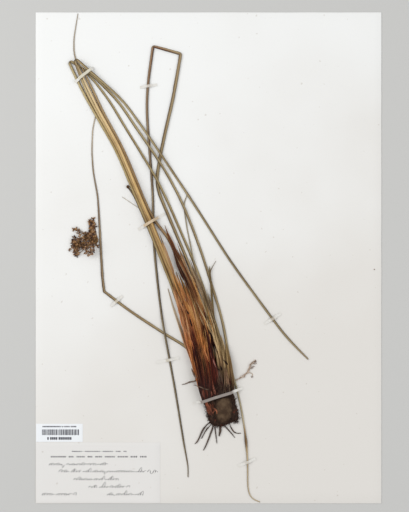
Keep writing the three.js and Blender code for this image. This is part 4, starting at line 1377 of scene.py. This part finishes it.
def withered_shoot(section):
    """A shrivelled side shoot: a pale axis in curling threads that end in small dark loops."""
    draw = random.Random(14)
    arms = [
        branch_of("shoot", SHOOT, [(0, 1.0), (0.7, 0.6), (1, 0.35)], "withered_shoot", section, 0.0007),
        branch_of("hook", HOOK, [(0, 0.7), (1, 0.35)], "withered_shoot", section, 0.0007),
    ]
    pale = rough_skin("withered_skin", (148, 126, 106), (214, 194, 176), 420.0, 0.0002)
    lines = []
    for _ in range(6):
        route = SHOOT if draw.random() < 0.7 else HOOK
        path = smoothed(np.array(route, float), 0.5)[0]
        side = sideways(path)
        first = int(draw.uniform(0, 0.4) * len(path))
        phase, swing, pace = draw.uniform(0, 6.28), draw.uniform(0.3, 1.1), draw.uniform(0.16, 0.42)
        line = []
        for k in range(first, len(path)):
            sway = swing * (math.sin(phase + k * pace) + 0.4 * math.sin(phase + k * pace * 2.7))
            x, y = path[k] + side[k] * sway
            rise = 0.0009 + 0.0006 * math.cos(phase + k * pace)
            line.append(((*on_sheet(x, y), PAPER_TOP + rise), 0.00012))
        lines.append(line)
    threads = fibres("threads", lines)
    finished(joined("dried_withered_shoot", [*arms, threads]), "fine_growth", pale, "withered_shoot")
    lines = []
    for x, y, radius in SHOOT_LOOPS:
        for _ in range(2):
            start, wide, flat = draw.uniform(0, 6.28), radius * draw.uniform(0.6, 1.1), draw.uniform(0.4, 0.9)
            cx, cy = x + draw.uniform(-0.6, 0.6), y + draw.uniform(-0.6, 0.6)
            ring = []
            for k in range(draw.randint(7, 14)):
                turn = start + k * 0.5
                reach = wide * (1 - 0.05 * k)
                place = on_sheet(cx + reach * math.cos(turn), cy + flat * reach * math.sin(turn))
                ring.append(((*place, PAPER_TOP + 0.0008 + 0.0004 * math.sin(turn)), 0.00013))
            lines.append(ring)
    dark = rough_skin("loop_skin", (78, 58, 48), (150, 124, 108), 500.0, 0.0002)
    finished(fibres("withered_loops", lines), "fine_growth", dark)


# Linen straps: the tint of each where it is raised, and how far along from its ends it rises

STRAP_TINTS = {
    "top": ((214, 209, 192), 0.24), "middle": ((206, 184, 154), 0.24), "base": ((140, 131, 126), 0.24),
    "fold": ((202, 194, 184), 0.43), "long_tip": ((200, 194, 180), 0.44), "side": ((176, 166, 152), 0.44),
    "flowering": ((190, 180, 162), 0.44), "lower": ((204, 198, 188), 0.43),
}


def straps():
    for seed, (place, (tint, raised)) in enumerate(STRAP_TINTS.items()):
        node = "strap_" + place
        centres, widths, _ = stations(node)
        path, half_widths = smoothed(centres, 0.0006, widths * 0.9)
        band = [(1 - 2 * k / 8, -0.05) for k in range(9)] + [(-1 + 2 * k / 8, 0.05) for k in range(9)]
        piece = drawn("linen_" + node, path, half_widths, band, uneven(seed + 90, 0.05, 2.0))
        linen = linen_skin(node + "_linen", tint, raised, chord_lengths(path)[-1])
        finished(cleaned(piece, math.radians(40)), "strap_linen", linen, node)


# The seed head

CLUSTERS = {
    "upper": [
        (47.4, 238.2, 1.7, 15), (47.7, 236.4, 1.7, 9), (48, 234.5, 2.2, 15), (47.2, 230.5, 2.7, 18),
        (46.8, 226.5, 2.9, 17), (49.3, 241, 0.4, 3), (50.6, 234.2, 0.4, 3), (48.6, 229, 1.8, 8),
        (50, 225.4, 1.5, 9),
    ],
    "middle": [
        (46.5, 223.5, 2.6, 14), (41, 221, 2.8, 15), (36.5, 221.6, 2.6, 14), (33.2, 224.2, 1.8, 11),
        (32.6, 221, 1.5, 10), (43.8, 225, 2, 9), (38.4, 219, 2, 10), (50.6, 221.8, 1.2, 7),
    ],
    "outer": [
        (38.3, 225.3, 1.6, 6), (36.9, 228.6, 0.5, 3), (36.1, 230.8, 0.4, 3), (35, 232.7, 0.5, 4),
        (32.7, 231.9, 0.6, 4), (41.8, 227.6, 1.1, 5),
    ],
    "lower": [
        (45, 218.5, 2.6, 13), (41, 217.4, 2.2, 11), (34.6, 217, 2.6, 16), (34.8, 213, 2.4, 14),
        (34.8, 209.8, 0.6, 4), (28.8, 215.8, 0.2, 2), (32.4, 217.8, 1.3, 8),
    ],
    "inner": [
        (49, 218.5, 0.8, 5), (52.2, 217.8, 0.3, 3), (48.4, 213.6, 1.7, 10), (45.4, 211.6, 1.7, 9),
        (43, 213, 0.6, 4), (48, 221, 1.8, 9),
    ],
}
HEAD_FORK = (53.2, 222.8)
CAPSULE_LENGTH = 0.0019


def capsule_model():
    """One ripe capsule, three-sided and pointed, lying along +X with its narrow bracts at its foot."""
    deselect()
    bpy.ops.mesh.primitive_uv_sphere_add(segments=6, ring_count=5, radius=0.5)
    parts = [placed(bpy.context.object, rotation_euler=(0, math.pi / 2, 0))]
    for vert in parts[0].data.vertices:
        x, y, z = vert.co
        belly = 0.95 - 0.5 * (x + 0.1) ** 2
        girth = 0.78 * belly * (1 + 0.12 * math.cos(3 * math.atan2(z, y)))
        vert.co = (x + 0.5 + 0.18 * max(0.0, x) ** 6 * 64, y * girth, z * girth)
    for k in range(5):
        deselect()
        bpy.ops.mesh.primitive_cone_add(vertices=3, radius1=0.13, radius2=0, depth=0.85)
        bract = placed(bpy.context.object, scale=(1.0, 0.35, 1.0), location=(0, 0, 0.36))
        placed(bract, rotation_euler=(0, math.pi / 2 - 0.36, 0))
        placed(bract, location=(0, 0, 0.05))
        placed(bract, rotation_euler=(2 * math.pi * k / 5 + 0.4, 0, 0))
        parts.append(bract)
    return cleaned(joined("capsule_model", parts), SHARP)


def seed_head():
    draw = random.Random(21)
    model = capsule_model()
    skin = capsule_skin()
    straw = rough_skin("ray_skin", (92, 66, 40), (158, 124, 80), 420.0, 0.00015)
    low_surface = PAPER_TOP + 0.0006
    rays = []
    for branch, clusters in CLUSTERS.items():
        node = "panicle_branch_" + branch
        tree = tree_of(node)
        capsules = []
        for x, y, spread, count in clusters:
            centre = laid([(x, y)], tree, low_surface, -0.0006)[0]
            rays.append(ray_to(centre, branch, draw))
            for k in range(count):
                turn = 2 * math.pi * (k + draw.random() * 0.7) / count
                reach = spread * MM * draw.uniform(0.25, 0.8)
                offset = [math.cos(turn) * reach, math.sin(turn) * reach, draw.uniform(0, 0.0007)]
                foot = centre + np.array(offset)
                capsules.append(capsule_at(model, foot, turn + draw.uniform(-0.8, 0.8), draw))
                rays.append([(tuple(centre), 0.00013), (tuple(foot), 0.00011)])
        finished(joined("seed_capsules_" + branch, capsules), "seed_capsule", skin, node)
    bpy.data.objects.remove(model)
    finished(fibres("seed_head_rays", rays), "seed_capsule", straw)


def ray_to(end, branch, draw):
    """The thin stalk from the stem to a cluster, a little bowed."""
    start = np.array([*on_sheet(*HEAD_FORK), end[2] * 0.5 + PAPER_TOP * 0.5 + 0.0004])
    bow = np.array([draw.uniform(-1, 1), draw.uniform(-1, 1), 0.2]) * 0.0012
    middle = (start + end) / 2 + bow
    path = smoothed([start, middle, end], 0.0012)[0]
    return [(tuple(p), 0.0002) for p in path]


def capsule_at(model, foot, heading, draw):
    copy = model.copy()
    copy.data = model.data.copy()
    bpy.context.scene.collection.objects.link(copy)
    take(copy)
    turn = (draw.uniform(0, 6.28), draw.uniform(-0.35, 0.1), heading)
    scale = (CAPSULE_LENGTH * draw.uniform(0.8, 1.15),) * 3
    placed(copy, location=foot, rotation_euler=turn, scale=scale)
    sunk = PAPER_TOP - min(vert.co.z for vert in copy.data.vertices)
    for vert in copy.data.vertices:
        vert.co.z += max(0.0, sunk)
    return copy


# Bristles and matted fibres: the crown's rim and middle, and the places of the thickest tangles

RIM = [
    (142.6, 84.9), (144.6, 79.2), (145.6, 75.1), (146.7, 70), (150.3, 66.5), (155.9, 65.4), (160.5, 66),
    (164.6, 69.2), (170.4, 69.2), (172, 72.1), (171, 79.2), (169, 85.4), (168, 91), (167, 98),
]
CROWN_MIDDLE = np.array([157.0, 82.0])
RIM_FIBRES = 230
MATTED_FIBRES = 170
MATTED_RADIUS = 0.00016
BARE_SOIL = (6.5, 11)
STRAP_CLEARANCE = 0.0022
TANGLES = [
    (170.2, 71.6), (171.4, 69.8), (168.2, 68.4), (170.8, 75.6), (171.2, 78.8), (169.8, 82.6),
    (145.2, 74.4),
]


def curl(root, heading, length, bend, heights, radius):
    """A thin fibre that starts on the sheet at root, turns through bend and rises or falls on its way."""
    line = []
    x, y = root
    steps = max(7, int(abs(bend) * 3))
    for k in range(steps + 1):
        t = k / steps
        line.append(((*on_sheet(x, y), heights[0] * (1 - t) + heights[1] * t), radius * (1 - 0.5 * t)))
        x += math.cos(heading) * length / steps
        y += math.sin(heading) * length / steps
        heading += bend / steps
    return line


def gap_between(line, row):
    """The shortest way on the sheet between a line of fibre and a row of places."""
    spots = np.array([place[:2] for place, _ in line])
    return np.linalg.norm(spots[:, None] - row, axis=2).min()


def crown_fibres(pile):
    """Wiry dead fibres round the rim of the crown, most of them curled, and matted ones lying on it."""
    draw = random.Random(33)
    strap = stations("strap_base")[0][:, :2]
    lines = []
    for _ in range(RIM_FIBRES):
        k = draw.random() * (len(RIM) - 1)
        low, part = int(k), k - int(k)
        edge = np.array(RIM[low]) * (1 - part) + np.array(RIM[low + 1]) * part
        outward = unit(edge - CROWN_MIDDLE)
        heading = math.atan2(outward[1], outward[0]) + draw.uniform(-1.1, 1.1)
        rise = PAPER_TOP + draw.uniform(0.0008, 0.0042)
        fall = PAPER_TOP + draw.uniform(0.0003, 0.002)
        root = edge - outward * draw.uniform(0.4, 2.2)
        bend = draw.choice([-1, 1]) * draw.uniform(0.3, 3.4)
        radius = draw.uniform(0.0001, 0.00024)
        lines.append(curl(root, heading, draw.uniform(1.4, 3.6), bend, (rise, fall), radius))
    for x, y in TANGLES * 3:
        root = (x + draw.uniform(-0.9, 0.9), y + draw.uniform(-0.9, 0.9))
        bend = draw.choice([-1, 1]) * draw.uniform(4, 7)
        heights = (PAPER_TOP + 0.0013, PAPER_TOP + 0.0007)
        lines.append(curl(root, draw.uniform(0, 6.28), draw.uniform(3, 5.5), bend, heights, 0.0002))
    for _ in range(MATTED_FIBRES):
        sides = ((143, 168), (84, 100)) if draw.random() < 0.6 else ((146, 170), (67, 98))
        x, y = (draw.uniform(*side) for side in sides)
        heading, length, bend = draw.uniform(0.6, 2.6), draw.uniform(2, 7), draw.uniform(-1.2, 1.2)
        line = curl((x, y), heading, length, bend, (0, 0), MATTED_RADIUS)
        if math.hypot((x - SOIL_MIDDLE[0]) / BARE_SOIL[0], (y - SOIL_MIDDLE[1]) / BARE_SOIL[1]) < 1:
            continue
        path = pile.lay(np.array([place for place, _ in line]), np.full(len(line), MATTED_RADIUS), 1.0)
        if path[0][2] > PAPER_TOP + 0.001:
            lines.append([(tuple(p), r) for p, (_, r) in zip(path, line)])
    lines = [line for line in lines if gap_between(line, strap) > STRAP_CLEARANCE]
    dark = rough_skin("fibre_skin", (34, 22, 18), (84, 60, 48), 600.0, 0.0001)
    finished(fibres("crown_fibres", lines), "root", dark)


# Room, light and camera

VIEW_CENTRE = (-0.00339, 0.00161)
VIEW_HEIGHT = 0.4335
LENS = 85.0
SENSOR = 36.0


def area_light(name, place, size, power, tint):
    light = bpy.data.lights.new(name, "AREA")
    light.shape = "SQUARE"
    light.size = size
    light.energy = power
    light.color = tint
    lamp = bpy.data.objects.new(name, light)
    lamp.location = place
    lamp.rotation_euler = (-Vector(place)).to_track_quat("-Z", "Y").to_euler()
    bpy.context.scene.collection.objects.link(lamp)


def room():
    deselect()
    bpy.ops.mesh.primitive_plane_add(size=40.0, location=(0, 0, -0.0002))
    floor = bpy.context.object
    floor.name = "floor"
    finish = Finish("plain_floor")
    tone = finish.grain(finish.place(), 3.0, 2.0)
    shade = finish.mix(tone * 0.3, (196, 196, 194), (202, 202, 200))
    floor.data.materials.append(finish.wear(shade, tone * 0.1 + 0.8, tone, 0.00001))
    world = bpy.data.worlds.new("soft_room")
    world.use_nodes = True
    background = world.node_tree.nodes["Background"]
    background.inputs["Color"].default_value = (1.0, 1.0, 1.0, 1.0)
    background.inputs["Strength"].default_value = 0.58
    bpy.context.scene.world = world
    area_light("left_softbox", (-0.75, 0.25, 0.85), 0.9, 6.4, (1.0, 0.995, 0.985))
    area_light("right_softbox", (0.75, -0.1, 0.95), 0.9, 4.0, (0.985, 0.99, 1.0))
    bpy.context.scene.view_settings.view_transform = "Standard"


def camera():
    lens = bpy.data.cameras.new("copy_stand")
    lens.lens = LENS
    lens.sensor_width = SENSOR
    lens.clip_start = 0.01
    eye = bpy.data.objects.new("copy_stand", lens)
    eye.location = (*VIEW_CENTRE, PAPER_TOP + VIEW_HEIGHT * LENS / SENSOR)
    bpy.context.scene.collection.objects.link(eye)
    bpy.context.scene.camera = eye


camera()
room()
sheet_and_cards()
printed_marks()
pen_marks()
slip_marks()
stems()
crown_and_soil()
pile = sheaths()
growths(pile)
straps()
seed_head()
crown_fibres(pile)
